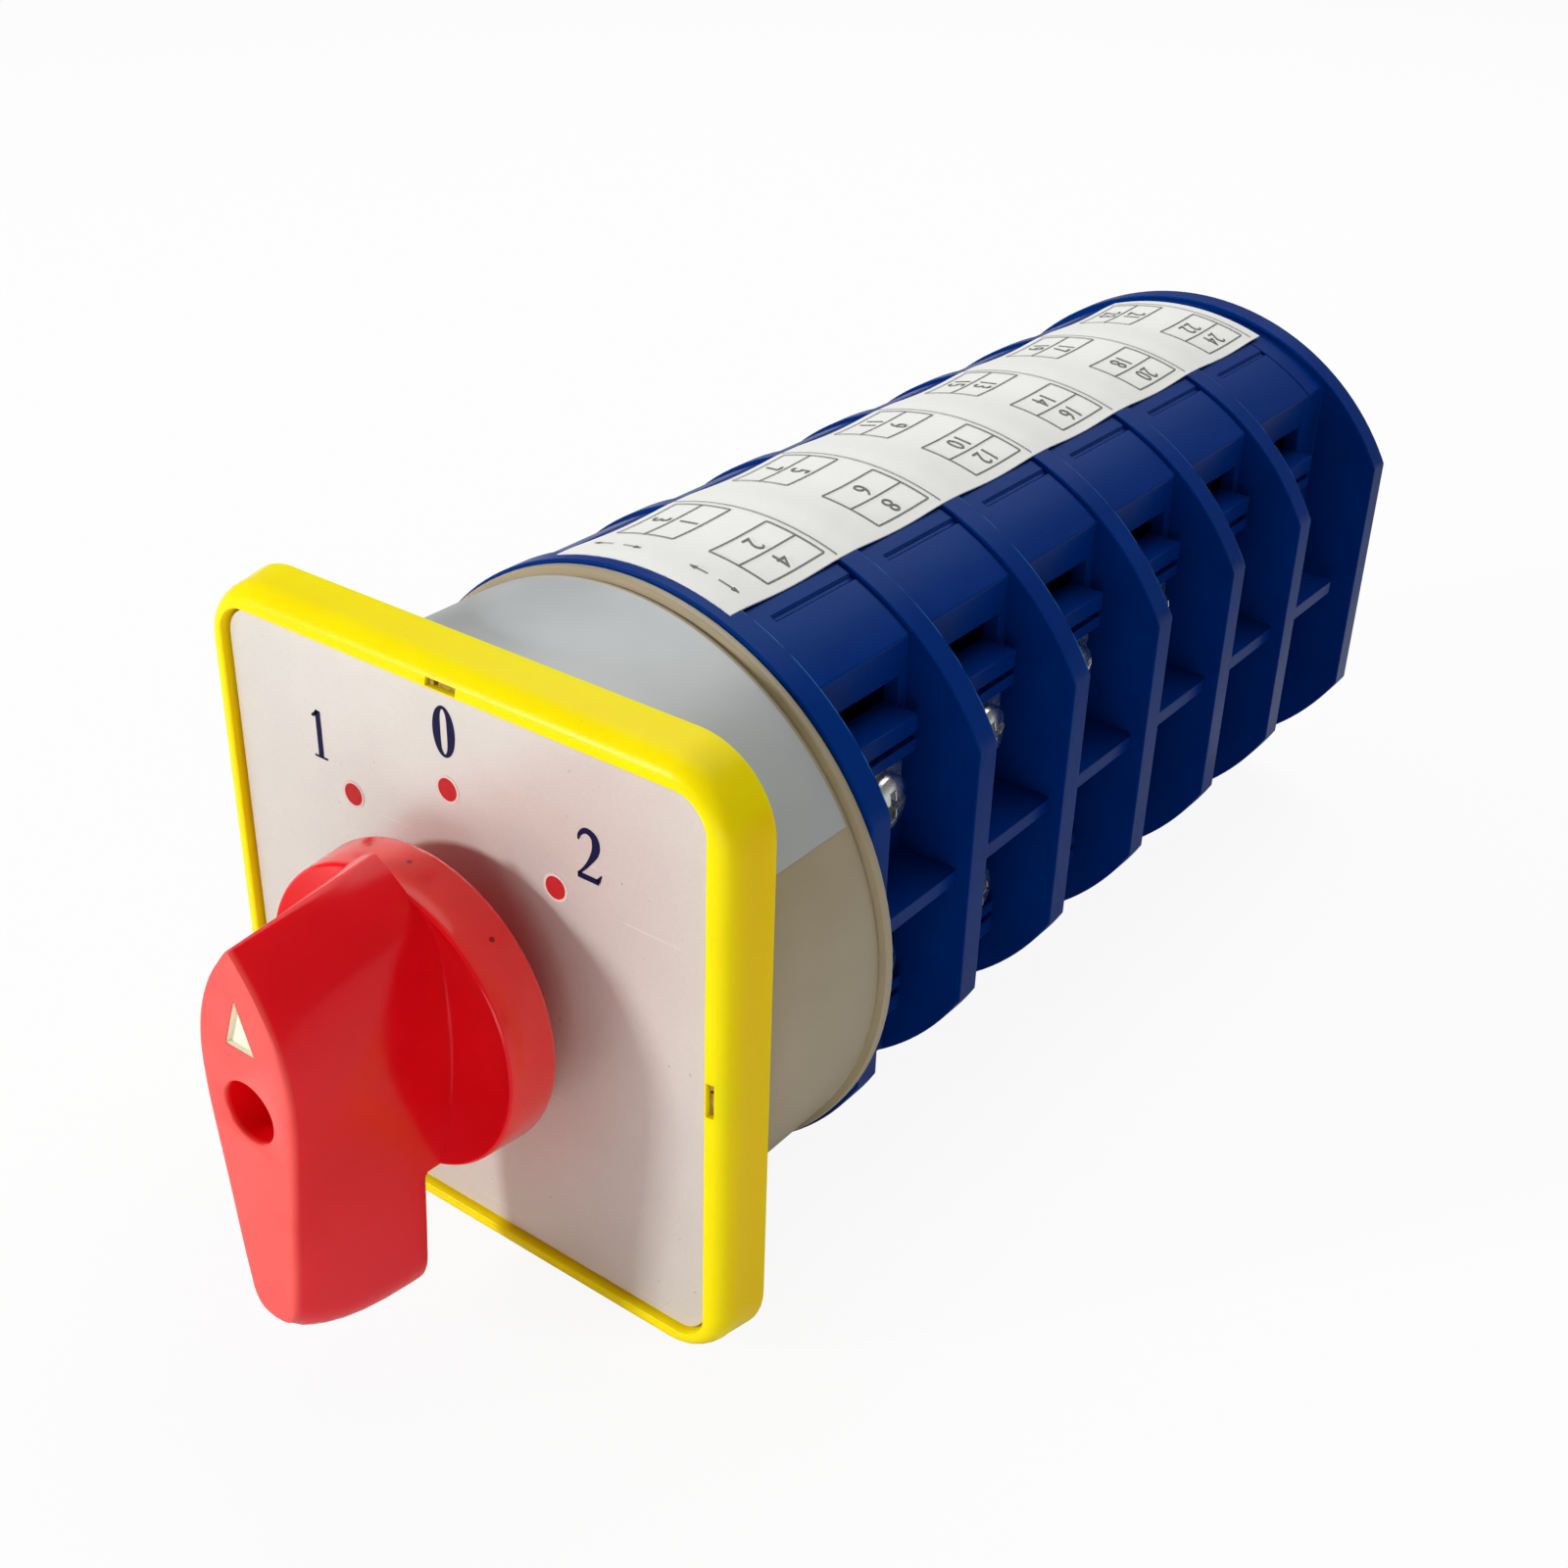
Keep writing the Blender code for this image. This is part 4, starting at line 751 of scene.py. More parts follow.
bmesh.ops.translate(well, verts=well.verts, vec=(0, 0, -WELL_DROP))
knob = carve(spun(DISC_PROFILE), (well, arrow, bore), (grip, hub), merge_flats=False)
finish_piece("knob_body", knob, red, "rotor", ["knob"])

# Knob arrow: the sunk pointer is lined with cream paint on its floor and its walls.
ivory, where = new_finish("ivory_paint")
paint = where.noise(0.4 * MM, 3.0).blend((0.80, 0.72, 0.52), (0.93, 0.89, 0.72))
set_finish(ivory, Base_Color=paint, Roughness=0.5)
# Share of the arrow's size and depth under its edge in millimetres, over the paint and back
LINING = ((0.0, 0.46), (0.9, 0.46), (0.955, 0.08), (0.985, 0.08), (0.985, 0.53), (0.0, 0.53))
fill = bmesh.new()
middle_z = sum(z for x, z in ARROW_CORNERS) / 3
lining = []
for share, depth in LINING:
    y = KNOB_FRONT + depth * MM
    places = [(x * share * MM, y, (middle_z + (z - middle_z) * share) * MM) for x, z in ARROW_CORNERS]
    lining.append([fill.verts.new(place) for place in places])
skin(fill, lining)
bmesh.ops.remove_doubles(fill, verts=fill.verts, dist=0.001 * MM)
finish_piece("knob_arrow_paint", fill, ivory, "rotor")


# Detent housing: a round cup in cream plastic behind the panel, with a thin lip against
# the first stage. Its front has the hole for the shaft, and inside stands the plunger's guide.
CUP_FLOOR = 3.3 * MM
GUIDE_HALF = 3.8 * MM
GUIDE_WALL = 1.6 * MM
GUIDE_FOOT = 12.4 * MM
GUIDE_HEAD = 27.742 * MM
GUIDE_ROOF = 10.8 * MM
cream, where = new_finish("moulded_cream")
mottle = where.noise(7 * MM, 3.0)
peel = where.noise(0.8 * MM, 2.0)
dust = where.noise(0.5 * MM, 4.0).step(0.70, 0.78)
base = mottle.blend((0.37, 0.305, 0.195), (0.44, 0.37, 0.25))
set_finish(
    cream,
    Base_Color=(dust * 0.35).blend(base, (0.24, 0.19, 0.11)),
    Roughness=0.3 + 0.15 * mottle,
    Normal=peel.relief(0.014 * MM),
)
# Radius and depth of the cup's wall from its bearing outwards, round the lip and back inside
CUP_PROFILE = [
    (5.5, 0.3), (29.9, 0.3), (30.45, 0.45), (30.7, 0.9), (30.7, 18.0), (30.55, 18.15), (30.55, 18.35),
    (31.3, 18.45), (31.42, 18.6), (31.42, 19.35), (31.3, 19.45), (28.6, 19.45), (28.6, 3.3), (5.5, 3.3),
]
cup = spun(CUP_PROFILE + CUP_PROFILE[:1])
wall = GUIDE_HALF + GUIDE_WALL
for side in (-1, 1):
    across = sorted((side * GUIDE_HALF, side * wall))
    add_block(cup, across, (CUP_FLOOR, GUIDE_ROOF + GUIDE_WALL), (GUIDE_FOOT, GUIDE_HEAD))
roof = (GUIDE_ROOF, GUIDE_ROOF + GUIDE_WALL)
add_block(cup, (-GUIDE_HALF, GUIDE_HALF), roof, (GUIDE_FOOT, GUIDE_HEAD))
finish_piece("detent_cup", cup, cream, "housing", ["detent_housing"])


# Rating sticker: a pale foil wrapped round the upper half of the detent housing. It is
# left bare here. Its lower right corner was cut at a slant.
STICKER_RADIUS = 30.76 * MM
STICKER_THICKNESS = 0.06 * MM
STICKER_FRONT = 1.6 * MM
STICKER_BACK = 17.6 * MM
STICKER_REACH = math.radians(60)
CUT_START = 0.3
CUT_SLANT = 0.75
foil, where = new_finish("sticker_foil")
soft = where.noise(6 * MM, 2.0)
fine = where.noise(0.3 * MM, 2.0)
set_finish(
    foil,
    Base_Color=soft.blend((0.43, 0.455, 0.46), (0.50, 0.52, 0.52)),
    Metallic=0.12,
    Roughness=0.34 + 0.12 * fine,
    Normal=soft.relief(0.05 * MM),
)


def wrap(bm, radius_at):
    """Roll a flat sheet about the shaft. X is the way round and Y along, Z is height above it."""
    for vert in bm.verts:
        around, along, lift = vert.co
        radius = radius_at(along) + lift
        angle = around / radius_at(along)
        vert.co = (radius * math.sin(angle), along, radius * math.cos(angle))


sheet = bmesh.new()
reach = STICKER_REACH * STICKER_RADIUS
length = STICKER_BACK - STICKER_FRONT
place = Matrix.Translation((0, STICKER_FRONT + length / 2, 0)) @ Matrix.Diagonal((2 * reach, length, 1, 1))
bmesh.ops.create_grid(sheet, x_segments=80, y_segments=4, size=0.5, matrix=place)
bmesh.ops.bisect_plane(
    sheet, geom=sheet.verts[:] + sheet.edges[:] + sheet.faces[:], dist=0.0001 * MM,
    plane_co=(reach, STICKER_FRONT + CUT_START * length, 0), plane_no=(1.0, -CUT_SLANT, 0), clear_outer=True,
)
wrap(sheet, lambda along: STICKER_RADIUS)
bmesh.ops.solidify(sheet, geom=sheet.faces[:], thickness=STICKER_THICKNESS)
bmesh.ops.recalc_face_normals(sheet, faces=sheet.faces)
finish_piece("rating_sticker", sheet, foil, "housing")


# Stage housings: six alike blue mouldings, clamped one behind the other. Each has a
# flange with two flats, a curved shell above and below, and an open wiring bay each side.
STAGES = 6
FIRST_STAGE = 19.5 * MM
STAGE_PITCH = 18.3 * MM
STAGE_BACK = 18.24 * MM
FLANGE_RADIUS = 31.8 * MM
FLANGE_THICKNESS = 3.2 * MM
FLAT_HALF = 28.2 * MM
SHELL_RADIUS = 31.4 * MM
SHELL_WALL = 1.9 * MM
WALL_X = 19.425 * MM
WALL_INNER_X = 17.525 * MM
TERMINAL_Y = 11.65 * MM
CHAMBER_HOLE = 5.25 * MM
ROD_X = 14.525 * MM
ROD_HOLE = 1.9 * MM
BOSS_START = 11.6 * MM
BOSS_HALF = 3.0 * MM
POST_X = (4.3 * MM, 5.9 * MM)
POST_Z = (12.0 * MM, 16.6 * MM)
BAY = (6.0 * MM, 16.85 * MM)
RIB_REACH = 26.6 * MM
RIB_HALF = 0.9 * MM
SHELF_START = 9.6 * MM
SHELF = (12.2 * MM, 13.9 * MM)
SLOT_HALF = 3.8 * MM
SLOT_TOP = 15.5 * MM
LEDGE_TOP = 17.5 * MM
POCKET_TOP = 20.7 * MM
LEG_X = 20.725 * MM
GUARD_X = (21.025 * MM, 21.825 * MM)
GUARD_Z = (13.4 * MM, 14.8 * MM)
CLAMP_Z = 9.7 * MM
SHANK_HOLE = 2.1 * MM
GROOVE_WIDTH = 0.6 * MM
GROOVE_DEPTH = 0.3 * MM
GROOVE_START = 5.6 * MM
GROOVE_ANGLE = math.radians(23.5)
blue, where = new_finish("moulded_blue")
mottle = where.noise(8 * MM, 3.0)
flow = where.noise(3 * MM, 4.0, (1.0, 0.25, 1.0))
peel = where.noise(0.7 * MM, 2.0)
dust = where.noise(0.4 * MM, 3.0).step(0.72, 0.78)
across, along, upright = where.parts()
# Painted glint: a patchy lighter blue streak along the outer rear edge of each flange, where its rounding
# would catch the light.
inside = where.sum_of("MODULO", along - FIRST_STAGE, STAGE_PITCH)
rear_edge = inside.step(2.92 * MM, 3.0 * MM) * (1.0 - inside.step(3.16 * MM, 3.24 * MM))
out_of_shaft = across * across + upright * upright
outer = out_of_shaft.step((FLANGE_RADIUS - 0.3 * MM) ** 2, (FLANGE_RADIUS - 0.15 * MM) ** 2)
edge_glint = rear_edge * outer * where.noise(2.5 * MM, 3.0).step(0.38, 0.55)
plain = (mottle * 0.6 + flow * 0.4).blend((0.0, 0.018, 0.155), (0.0, 0.035, 0.25))
base = edge_glint.blend(plain, (0.03, 0.16, 0.45))
set_finish(
    blue,
    Base_Color=(dust * 0.3).blend(base, (0.05, 0.10, 0.22)),
    Roughness=0.26 + 0.16 * mottle,
    IOR=1.25,
    Specular_IOR_Level=0.33,
    Specular_Tint=(0.06, 0.55, 1.0, 1.0),
    Normal=peel.relief(0.015 * MM),
)


def flatted_drum(radius, half, start, end, segments=144):
    """A round slab across the shaft with a flat on each side."""
    bm = bmesh.new()
    add_drum(bm, radius, start, end, segments=segments)
    for side in (-1, 1):
        cut = bmesh.ops.bisect_plane(
            bm, geom=bm.verts[:] + bm.edges[:] + bm.faces[:], dist=0.0001 * MM,
            plane_co=(side * half, 0, 0), plane_no=(side, 0, 0), clear_outer=True,
        )
        rim = [item for item in cut["geom_cut"] if isinstance(item, bmesh.types.BMEdge)]
        bmesh.ops.contextual_create(bm, geom=rim)
    bmesh.ops.recalc_face_normals(bm, faces=bm.faces)
    return bm


def on_side(side, low, high):
    return (low, high) if side > 0 else (-high, -low)


flange = flatted_drum(FLANGE_RADIUS, FLAT_HALF, 0.0, FLANGE_THICKNESS)
web = FLANGE_THICKNESS - BITE
shell = flatted_drum(SHELL_RADIUS, WALL_X, web, STAGE_BACK)
chamber = flatted_drum(SHELL_RADIUS - SHELL_WALL, WALL_INNER_X, FLANGE_THICKNESS, STAGE_BACK + OVERCUT)
hollow = carve(flange, (chamber,), (shell,))
fittings = bmesh.new()
full = (web, STAGE_BACK)
for side in (-1, 1):
    add_block(fittings, on_side(side, WALL_INNER_X + BITE, RIB_REACH), full, (-RIB_HALF, RIB_HALF))
    add_block(fittings, on_side(side, BOSS_START, WALL_INNER_X + BITE / 2), full, (-BOSS_HALF, BOSS_HALF))
    for level in (-1, 1):
        add_block(fittings, on_side(side, *POST_X), full, on_side(level, *POST_Z))
        shelf = on_side(side, SHELF_START, WALL_INNER_X + BITE)
        add_block(fittings, shelf, (web, BAY[1]), on_side(level, *SHELF))
        ledge = on_side(side, WALL_X - BITE, GUARD_X[1])
        add_block(fittings, ledge, (web, BAY[1]), on_side(level, SLOT_TOP, LEDGE_TOP))
        add_block(fittings, on_side(side, *GUARD_X), (web, BAY[1]), on_side(level, *GUARD_Z))
openings = bmesh.new()
add_drum(openings, CHAMBER_HOLE, -OVERCUT, FLANGE_THICKNESS + BITE)
for side in (-1, 1):
    through = on_side(side, WALL_INNER_X - BITE, WALL_X + BITE)
    add_drum(openings, ROD_HOLE, -OVERCUT, STAGE_PITCH, segments=24, across=(side * ROD_X, 0.0))
    for level in (-1, 1):
        slot = (TERMINAL_Y - SLOT_HALF, TERMINAL_Y + SLOT_HALF)
        add_block(openings, through, slot, on_side(level, SHELF[1], SLOT_TOP))
        add_block(openings, through, BAY, on_side(level, LEDGE_TOP, POCKET_TOP))
        screw = (TERMINAL_Y, level * CLAMP_Z)
        add_drum(openings, SHANK_HOLE, *through, segments=24, axis="X", across=screw)
        turn = side * GROOVE_ANGLE + (math.pi if level < 0 else 0.0)
        groove = (SHELL_RADIUS - GROOVE_DEPTH, FLANGE_RADIUS)
        across = (-GROOVE_WIDTH / 2, GROOVE_WIDTH / 2)
        add_block(openings, across, (GROOVE_START, STAGE_PITCH), groove, turn=turn)
template = carve(hollow, (openings,), (fittings,))
bmesh.ops.triangulate(template, faces=[face for face in template.faces if len(face.verts) > 4])
for stage in range(STAGES):
    shaped = template.copy()
    bmesh.ops.translate(shaped, verts=shaped.verts, vec=(0, FIRST_STAGE + stage * STAGE_PITCH, 0))
    name = f"stage_{stage + 1}_housing"
    finish_piece(f"stage_{stage + 1}_moulding", shaped, blue, "housing", [name], 0.2 * MM)
template.free()


# Rear cover: the blue end plate of the stack, a flange on a short plug. Two deep holes in
# its back take the heads of the long screws that clamp the stages together. A round sink
# in the middle and four shallow ejector marks are left from moulding.
STACK_END = 129.3 * MM
COVER_FLANGE = 133.5 * MM
COVER_END = 136.7 * MM
COVER_RADIUS = 32.2 * MM
HEAD_SEAT = 134.7 * MM
HEAD_HOLE = 3.1 * MM
SHAFT_HOLE = 3.5 * MM
SHAFT_END = 134.8 * MM
SINK_RADIUS = 8.5 * MM
SINK_DEPTH = 0.6 * MM
MARK_RADIUS = 1.5 * MM
MARK_DEPTH = 0.45 * MM
# Places of the marks across the back, in millimetres
EJECTOR_MARKS = ((-17.0, 19.0), (17.0, 19.0), (-17.0, -19.0), (17.0, -19.0))
cover = flatted_drum(COVER_RADIUS, FLAT_HALF, COVER_FLANGE, COVER_END)
plug = flatted_drum(SHELL_RADIUS, WALL_X, STACK_END, COVER_FLANGE + BITE)
holes = bmesh.new()
add_drum(holes, SHAFT_HOLE, STACK_END - OVERCUT, SHAFT_END, segments=48)
add_drum(holes, SINK_RADIUS, COVER_END - SINK_DEPTH, COVER_END + OVERCUT)
for across, upright in EJECTOR_MARKS:
    at = (across * MM, upright * MM)
    add_drum(holes, MARK_RADIUS, COVER_END - MARK_DEPTH, COVER_END + OVERCUT, segments=32, across=at)
for side in (-1, 1):
    at = (side * ROD_X, 0.0)
    add_drum(holes, ROD_HOLE, STACK_END - OVERCUT, HEAD_SEAT, segments=24, across=at)
    add_drum(holes, HEAD_HOLE, HEAD_SEAT - 0.3 * MM, COVER_END + OVERCUT, segments=40, across=at)
cover = carve(cover, (holes,), (plug,))
finish_piece("rear_end_plate", cover, blue, "housing", ["rear_cover"], 0.2 * MM)


# Terminals: a plated strip that runs in through the wall to a fixed contact, bent down
# outside it, and a pan head clamp screw with a crossed slot over a square washer.
STRIP_Z = (14.2 * MM, 15.2 * MM)
STRIP_X = (9.525 * MM, LEG_X)
STRIP_HALF = 3.5 * MM
LEG_THICKNESS = 1.0 * MM
LEG_FOOT = 5.8 * MM
TIP_X = 11.525 * MM
TIP_RADIUS = 1.6 * MM
TIP_HEIGHT = 0.8 * MM
SHANK_RADIUS = 1.8 * MM
SHANK_LENGTH = 5.5 * MM
WASHER_X = (LEG_X + 0.02 * MM, LEG_X + 0.65 * MM)
WASHER_HALF = 3.5 * MM
WASHER_CORNER = 0.5 * MM
# Radius of the screw's head and its height above the strip in millimetres, foot to top
HEAD_PROFILE = [
    (0.0, 0.68), (3.0, 0.68), (3.2, 0.85), (3.2, 1.25), (3.0, 1.65), (2.4, 2.0), (1.4, 2.2), (0.0, 2.28),
]
# Floor and half sizes on Y and Z of the long and the short slot in the head, in millimetres
HEAD_SLOTS = ((1.25, 0.45, 3.6), (1.0, 1.7, 0.42))
HEAD_TWIST = 2.4
nickel, where = new_finish("bright_nickel")
smear = where.noise(1.1 * MM, 3.0)
fine = where.noise(0.2 * MM, 2.0)
set_finish(
    nickel,
    Base_Color=smear.blend((0.58, 0.57, 0.55), (0.86, 0.86, 0.84)),
    Metallic=1.0,
    Roughness=0.16 + 0.22 * smear,
    Normal=fine.relief(0.01 * MM),
)
strip = bmesh.new()
add_block(strip, STRIP_X, (-STRIP_HALF, STRIP_HALF), STRIP_Z)
leg = bmesh.new()
leg_x = (LEG_X - LEG_THICKNESS, LEG_X)
add_block(leg, leg_x, (-STRIP_HALF, STRIP_HALF), (LEG_FOOT, STRIP_Z[1] - BITE))
tip = bmesh.new()
tip_z = (STRIP_Z[1] - BITE, STRIP_Z[1] + TIP_HEIGHT)
add_drum(tip, TIP_RADIUS, *tip_z, segments=32, axis="Z", across=(TIP_X, 0.0))
shank = bmesh.new()
shank_x = (LEG_X - SHANK_LENGTH, LEG_X - 0.6 * MM)
add_drum(shank, SHANK_RADIUS, *shank_x, segments=32, axis="X", across=(0.0, CLAMP_Z))
strip = carve(strip, (), (leg, tip, shank))
washer = bmesh.new()
washer_z = (CLAMP_Z - WASHER_HALF, CLAMP_Z + WASHER_HALF)
add_block(washer, WASHER_X, (-WASHER_HALF, WASHER_HALF), washer_z)
round_edges(washer, edges_along(washer, "X"), WASHER_CORNER, 3)
head = spun(HEAD_PROFILE, 48)
bmesh.ops.transform(head, matrix=Matrix.Rotation(-math.pi / 2, 4, "Z"), verts=head.verts)
slots = []
for depth, half_y, half_z in HEAD_SLOTS:
    slot = bmesh.new()
    add_block(slot, (depth * MM, 3 * MM), (-half_y * MM, half_y * MM), (-half_z * MM, half_z * MM))
    slots.append(slot)
head = carve(head, slots)
bmesh.ops.translate(head, verts=head.verts, vec=(LEG_X, 0, CLAMP_Z))
TERMINAL_TURNS = ((0.0, 0.0, math.pi), (0.0, 0.0, 0.0), (0.0, math.pi, 0.0), (math.pi, 0.0, 0.0))


def add_copy(target, source, matrix):
    """Put a turned and moved copy of one bmesh into another."""
    mesh = bpy.data.meshes.new("copy")
    source.to_mesh(mesh)
    mesh.transform(matrix)
    target.from_mesh(mesh)
    bpy.data.meshes.remove(mesh)


for stage in range(STAGES):
    middle = FIRST_STAGE + stage * STAGE_PITCH + TERMINAL_Y
    for corner, turns in enumerate(TERMINAL_TURNS):
        x_turn, y_turn, z_turn = (Matrix.Rotation(turn, 4, axis) for turn, axis in zip(turns, "XYZ"))
        turn = z_turn @ y_turn @ x_turn
        number = 4 * stage + corner + 1
        lift = Matrix.Translation((0, 0, CLAMP_Z))
        twist = lift @ Matrix.Rotation(number * HEAD_TWIST, 4, "X") @ lift.inverted()
        place = Matrix.Translation((0, middle, 0)) @ turn
        bm = bmesh.new()
        for part, own in ((strip, Matrix()), (washer, Matrix()), (head, twist)):
            add_copy(bm, part, place @ own)
        name = f"terminal_{number:02d}"
        finish_piece(f"{name}_clamp", bm, nickel, "housing", [name], 0.08 * MM)
for bm in (strip, washer, head):
    bm.free()


# Contact label: a white paper strip glued over the flanges' tops. It sags a little
# between them, and is printed with the terminal numbers in boxes, two for each side.
LABEL_HALF_ANGLE = math.radians(19.5)
LABEL_FRONT = 20.9 * MM
LABEL_BACK = 131.5 * MM
LABEL_LIFT = 0.08 * MM
LABEL_THICKNESS = 0.12 * MM
SAG = 0.28 * MM
PRINT_LIFT = 0.015 * MM
PRINT_THICKNESS = 0.015 * MM
LINE_HALF = 0.085
BOX_SIDES = (2.25, 5.85, 9.45)
BOX_ENDS = (8.7, 17.7)
ARC_LINE = 18.6
DIGIT_SIZE = 3.3 * MM
DIGIT_WIDTH = 0.85
paper, where = new_finish("label_paper_white")
fibre = where.noise(0.35 * MM, 4.0)
pucker = where.noise(7 * MM, 2.0, (1.0, 0.6, 1.0))
set_finish(
    paper,
    Base_Color=fibre.blend((0.86, 0.86, 0.83), (0.93, 0.93, 0.90)),
    Roughness=0.42 + 0.1 * fibre,
    Normal=pucker.relief(0.35 * MM, 0.8),
)


def label_radius(along):
    """The paper's height above the shaft: on a flange it lies flat, between two it sags."""
    open_share = ((along - FIRST_STAGE) % STAGE_PITCH - FLANGE_THICKNESS) / (STAGE_PITCH - FLANGE_THICKNESS)
    dips = open_share > 0.0 and along < FIRST_STAGE + STAGES * STAGE_PITCH
    dip = SAG * math.sin(math.pi * open_share) ** 1.3 if dips else 0.0
    return FLANGE_RADIUS + LABEL_LIFT - dip


label = bmesh.new()
reach = LABEL_HALF_ANGLE * FLANGE_RADIUS
length = LABEL_BACK - LABEL_FRONT
place = Matrix.Translation((0, LABEL_FRONT + length / 2, 0)) @ Matrix.Diagonal((2 * reach, length, 1, 1))
bmesh.ops.create_grid(label, x_segments=24, y_segments=220, size=0.5, matrix=place)
wrap(label, label_radius)
bmesh.ops.solidify(label, geom=label.faces[:], thickness=LABEL_THICKNESS)
bmesh.ops.recalc_face_normals(label, faces=label.faces)
finish_piece("label_strip", label, paper, "housing", ["contact_label"])

ink, where = new_finish("label_ink")
grey = where.noise(0.15 * MM).blend((0.07, 0.075, 0.075), (0.22, 0.23, 0.22))
set_finish(ink, Base_Color=grey, Roughness=0.6)


def add_line(bm, start, end, half=LINE_HALF):
    """A printed line between two flat places in millimetres, in short steps so that it can bend."""
    steps = max(1, round((Vector(end) - Vector(start)).length / 0.6))
    path = [(*(Vector(start).lerp(Vector(end), index / steps)), half) for index in range(steps + 1)]
    add_stroke(bm, path)


def add_digits(bm, text, across, along):
    """Print a number whose digits have their tops to the right and read towards the dial."""
    curve = bpy.data.curves.new("digits", "FONT")
    curve.body = text
    curve.size = DIGIT_SIZE / MM
    curve.offset = -0.018
    curve.align_x = "CENTER"
    curve.align_y = "CENTER"
    curve.resolution_u = 3
    guide = bpy.data.objects.new("digits", curve)
    bpy.context.scene.collection.objects.link(guide)
    bpy.context.view_layer.update()
    mesh = bpy.data.meshes.new_from_object(guide.evaluated_get(bpy.context.evaluated_depsgraph_get()))
    bpy.data.objects.remove(guide)
    turn = Matrix.Rotation(-math.pi / 2, 4, "Z") @ Matrix.Diagonal((DIGIT_WIDTH, 1, 1, 1))
    mesh.transform(Matrix.Translation((across, along, 0)) @ turn)
    bm.from_mesh(mesh)
    bpy.data.meshes.remove(mesh)


for stage in range(STAGES):
    start = (FIRST_STAGE + stage * STAGE_PITCH) / MM
    front, back = start + BOX_ENDS[0], start + BOX_ENDS[1]
    marks = bmesh.new()
    for side in (-1, 1):
        for across in BOX_SIDES:
            add_line(marks, (side * across, front), (side * across, back))
        for along in (front, back):
            add_line(marks, (side * BOX_SIDES[0], along), (side * BOX_SIDES[2], along))
        if stage == 0:
            for tail, point in ((5.2, 3.0), (6.5, 9.0)):
                add_line(marks, (side * tail, 24.4), (side * point, 24.4), 0.07)
                back_off = 0.8 if point > tail else -0.8
                add_stroke(marks, [(side * (point - back_off), 24.4, 0.3), (side * point, 24.4, 0.02)])
        for cell in (0, 1):
            number = 4 * stage + 2 * cell + (1 if side < 0 else 2)
            across = side * (BOX_SIDES[cell] + BOX_SIDES[cell + 1]) / 2
            add_digits(marks, str(number), across, (front + back) / 2)
    arc_along = start + ARC_LINE
    add_line(marks, (-10.4, arc_along), (10.4, arc_along), 0.06)
    bmesh.ops.scale(marks, verts=marks.verts, vec=(MM, MM, MM))
    thicken(marks, Vector((0, 0, PRINT_THICKNESS)))
    bmesh.ops.translate(marks, verts=marks.verts, vec=(0, 0, LABEL_THICKNESS / 2 + PRINT_LIFT))
    wrap(marks, label_radius)
    finish_piece(f"label_print_{stage + 1}", marks, ink, "housing")


# Inner works: the square shaft, the cams, the star wheel, the plunger and the contact
# carriers keep the shapes of their solids and get their own finishes. The two long steel
# screws run from the rear cover through every stage into the detent housing.
steel, where = new_finish("rolled_steel")
drawn = where.noise(0.3 * MM, 3.0, (1.0, 0.05, 1.0))
grey = drawn.blend((0.42, 0.42, 0.43), (0.66, 0.66, 0.65))
set_finish(steel, Base_Color=grey, Metallic=1.0, Roughness=0.25 + 0.25 * drawn)
# Radius and depth of a long screw from its end to its slotted head, in millimetres
LONG_SCREW = [
    (0.0, 6.8), (1.3, 6.8), (1.6, 7.1), (1.6, 134.72), (2.7, 134.72), (2.8, 134.82), (2.8, 135.8),
    (2.62, 136.15), (2.0, 136.38), (0.0, 136.4),
]
for name, side, twist in (("left", -1, 0.5), ("right", 1, 2.0)):
    slot = bmesh.new()
    add_block(slot, (-4 * MM, 4 * MM), (135.7 * MM, COVER_END), (-0.4 * MM, 0.4 * MM), turn=twist)
    screw = carve(spun(LONG_SCREW, 48), (slot,), merge_flats=False)
    bmesh.ops.translate(screw, verts=screw.verts, vec=(side * ROD_X, 0, 0))
    finish_piece(f"long_screw_{name}", screw, steel, "housing", [f"tie_rod_{name}"])
white_nylon, where = new_finish("white_nylon")
cloud = where.noise(3 * MM, 3.0)
pale = cloud.blend((0.66, 0.65, 0.60), (0.78, 0.77, 0.73))
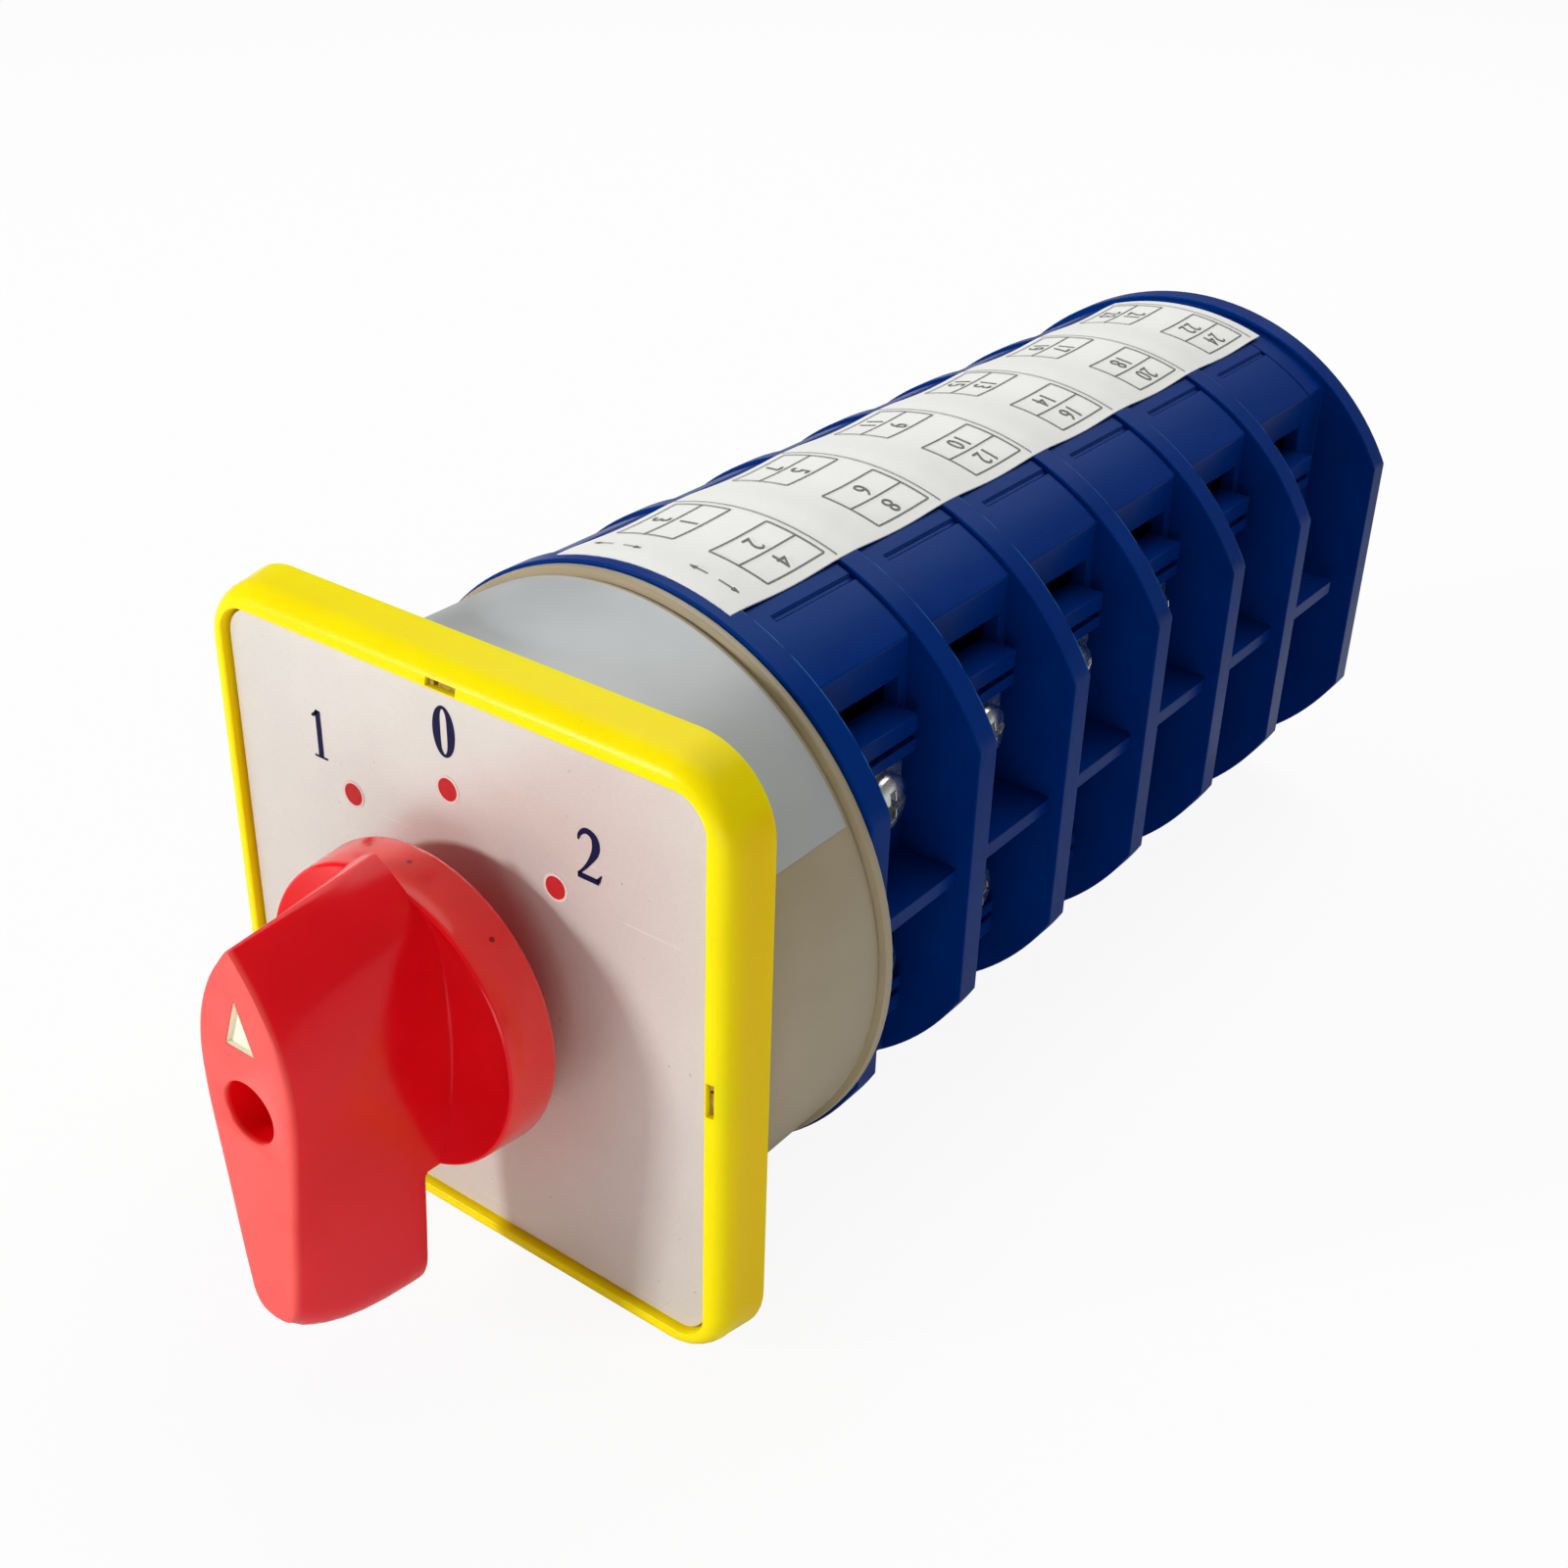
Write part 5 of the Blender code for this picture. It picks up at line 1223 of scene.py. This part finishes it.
set_finish(white_nylon, Base_Color=pale, Roughness=0.4 + 0.15 * cloud)
black_nylon, where = new_finish("black_nylon")
cloud = where.noise(2 * MM, 3.0)
dark = cloud.blend((0.014, 0.014, 0.015), (0.045, 0.045, 0.045))
set_finish(black_nylon, Base_Color=dark, Roughness=0.4 + 0.2 * cloud)
INNER_LOOKS = {
    "drive_shaft": steel,
    "star_wheel": white_nylon,
    "_cam": white_nylon,
    "detent_plunger": black_nylon,
    "_contact_": black_nylon,
}
for name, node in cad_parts.items():
    for part, look in INNER_LOOKS.items():
        if part in name:
            node.data.materials[0] = look


# Detent spring: a coil of steel wire in the plunger's bore that pushes the plunger at the
# star wheel. Its top rests on the housing's wall and its foot moves with the plunger.
COIL_RADIUS = 1.75 * MM
COIL_WIRE = 0.28 * MM
COIL_TURNS = 5
COIL_FLAT_TURNS = 0.75
COIL_STEPS = 28
WIRE_STEPS = 12
spring, where = new_finish("spring_wire")
grey = where.noise(0.3 * MM).blend((0.20, 0.20, 0.22), (0.42, 0.42, 0.44))
set_finish(spring, Base_Color=grey, Metallic=1.0, Roughness=0.35)
lowest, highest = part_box("detent_spring")
middle = (lowest + highest) / 2
coil = bmesh.new()
rings = []
for index in range(COIL_TURNS * COIL_STEPS + 1):
    turns = index / COIL_STEPS
    rise = min(1.0, max(0.0, (turns - COIL_FLAT_TURNS) / (COIL_TURNS - 2 * COIL_FLAT_TURNS)))
    level = lowest.z + COIL_WIRE + rise * (highest.z - lowest.z - 2 * COIL_WIRE)
    outwards = Vector((math.cos(turns * math.tau), math.sin(turns * math.tau), 0))
    ring = []
    for step in range(WIRE_STEPS):
        angle = step / WIRE_STEPS * math.tau
        reach = COIL_RADIUS + COIL_WIRE * math.cos(angle)
        height = level + COIL_WIRE * math.sin(angle)
        ring.append(coil.verts.new(outwards * reach + Vector((0, middle.y, height))))
    rings.append(ring)
skin(coil, rings)
piece = as_object("detent_coil", coil)
piece.data.materials.append(spring)
piece.data.shade_smooth()
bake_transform(piece)
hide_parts("detent_spring")
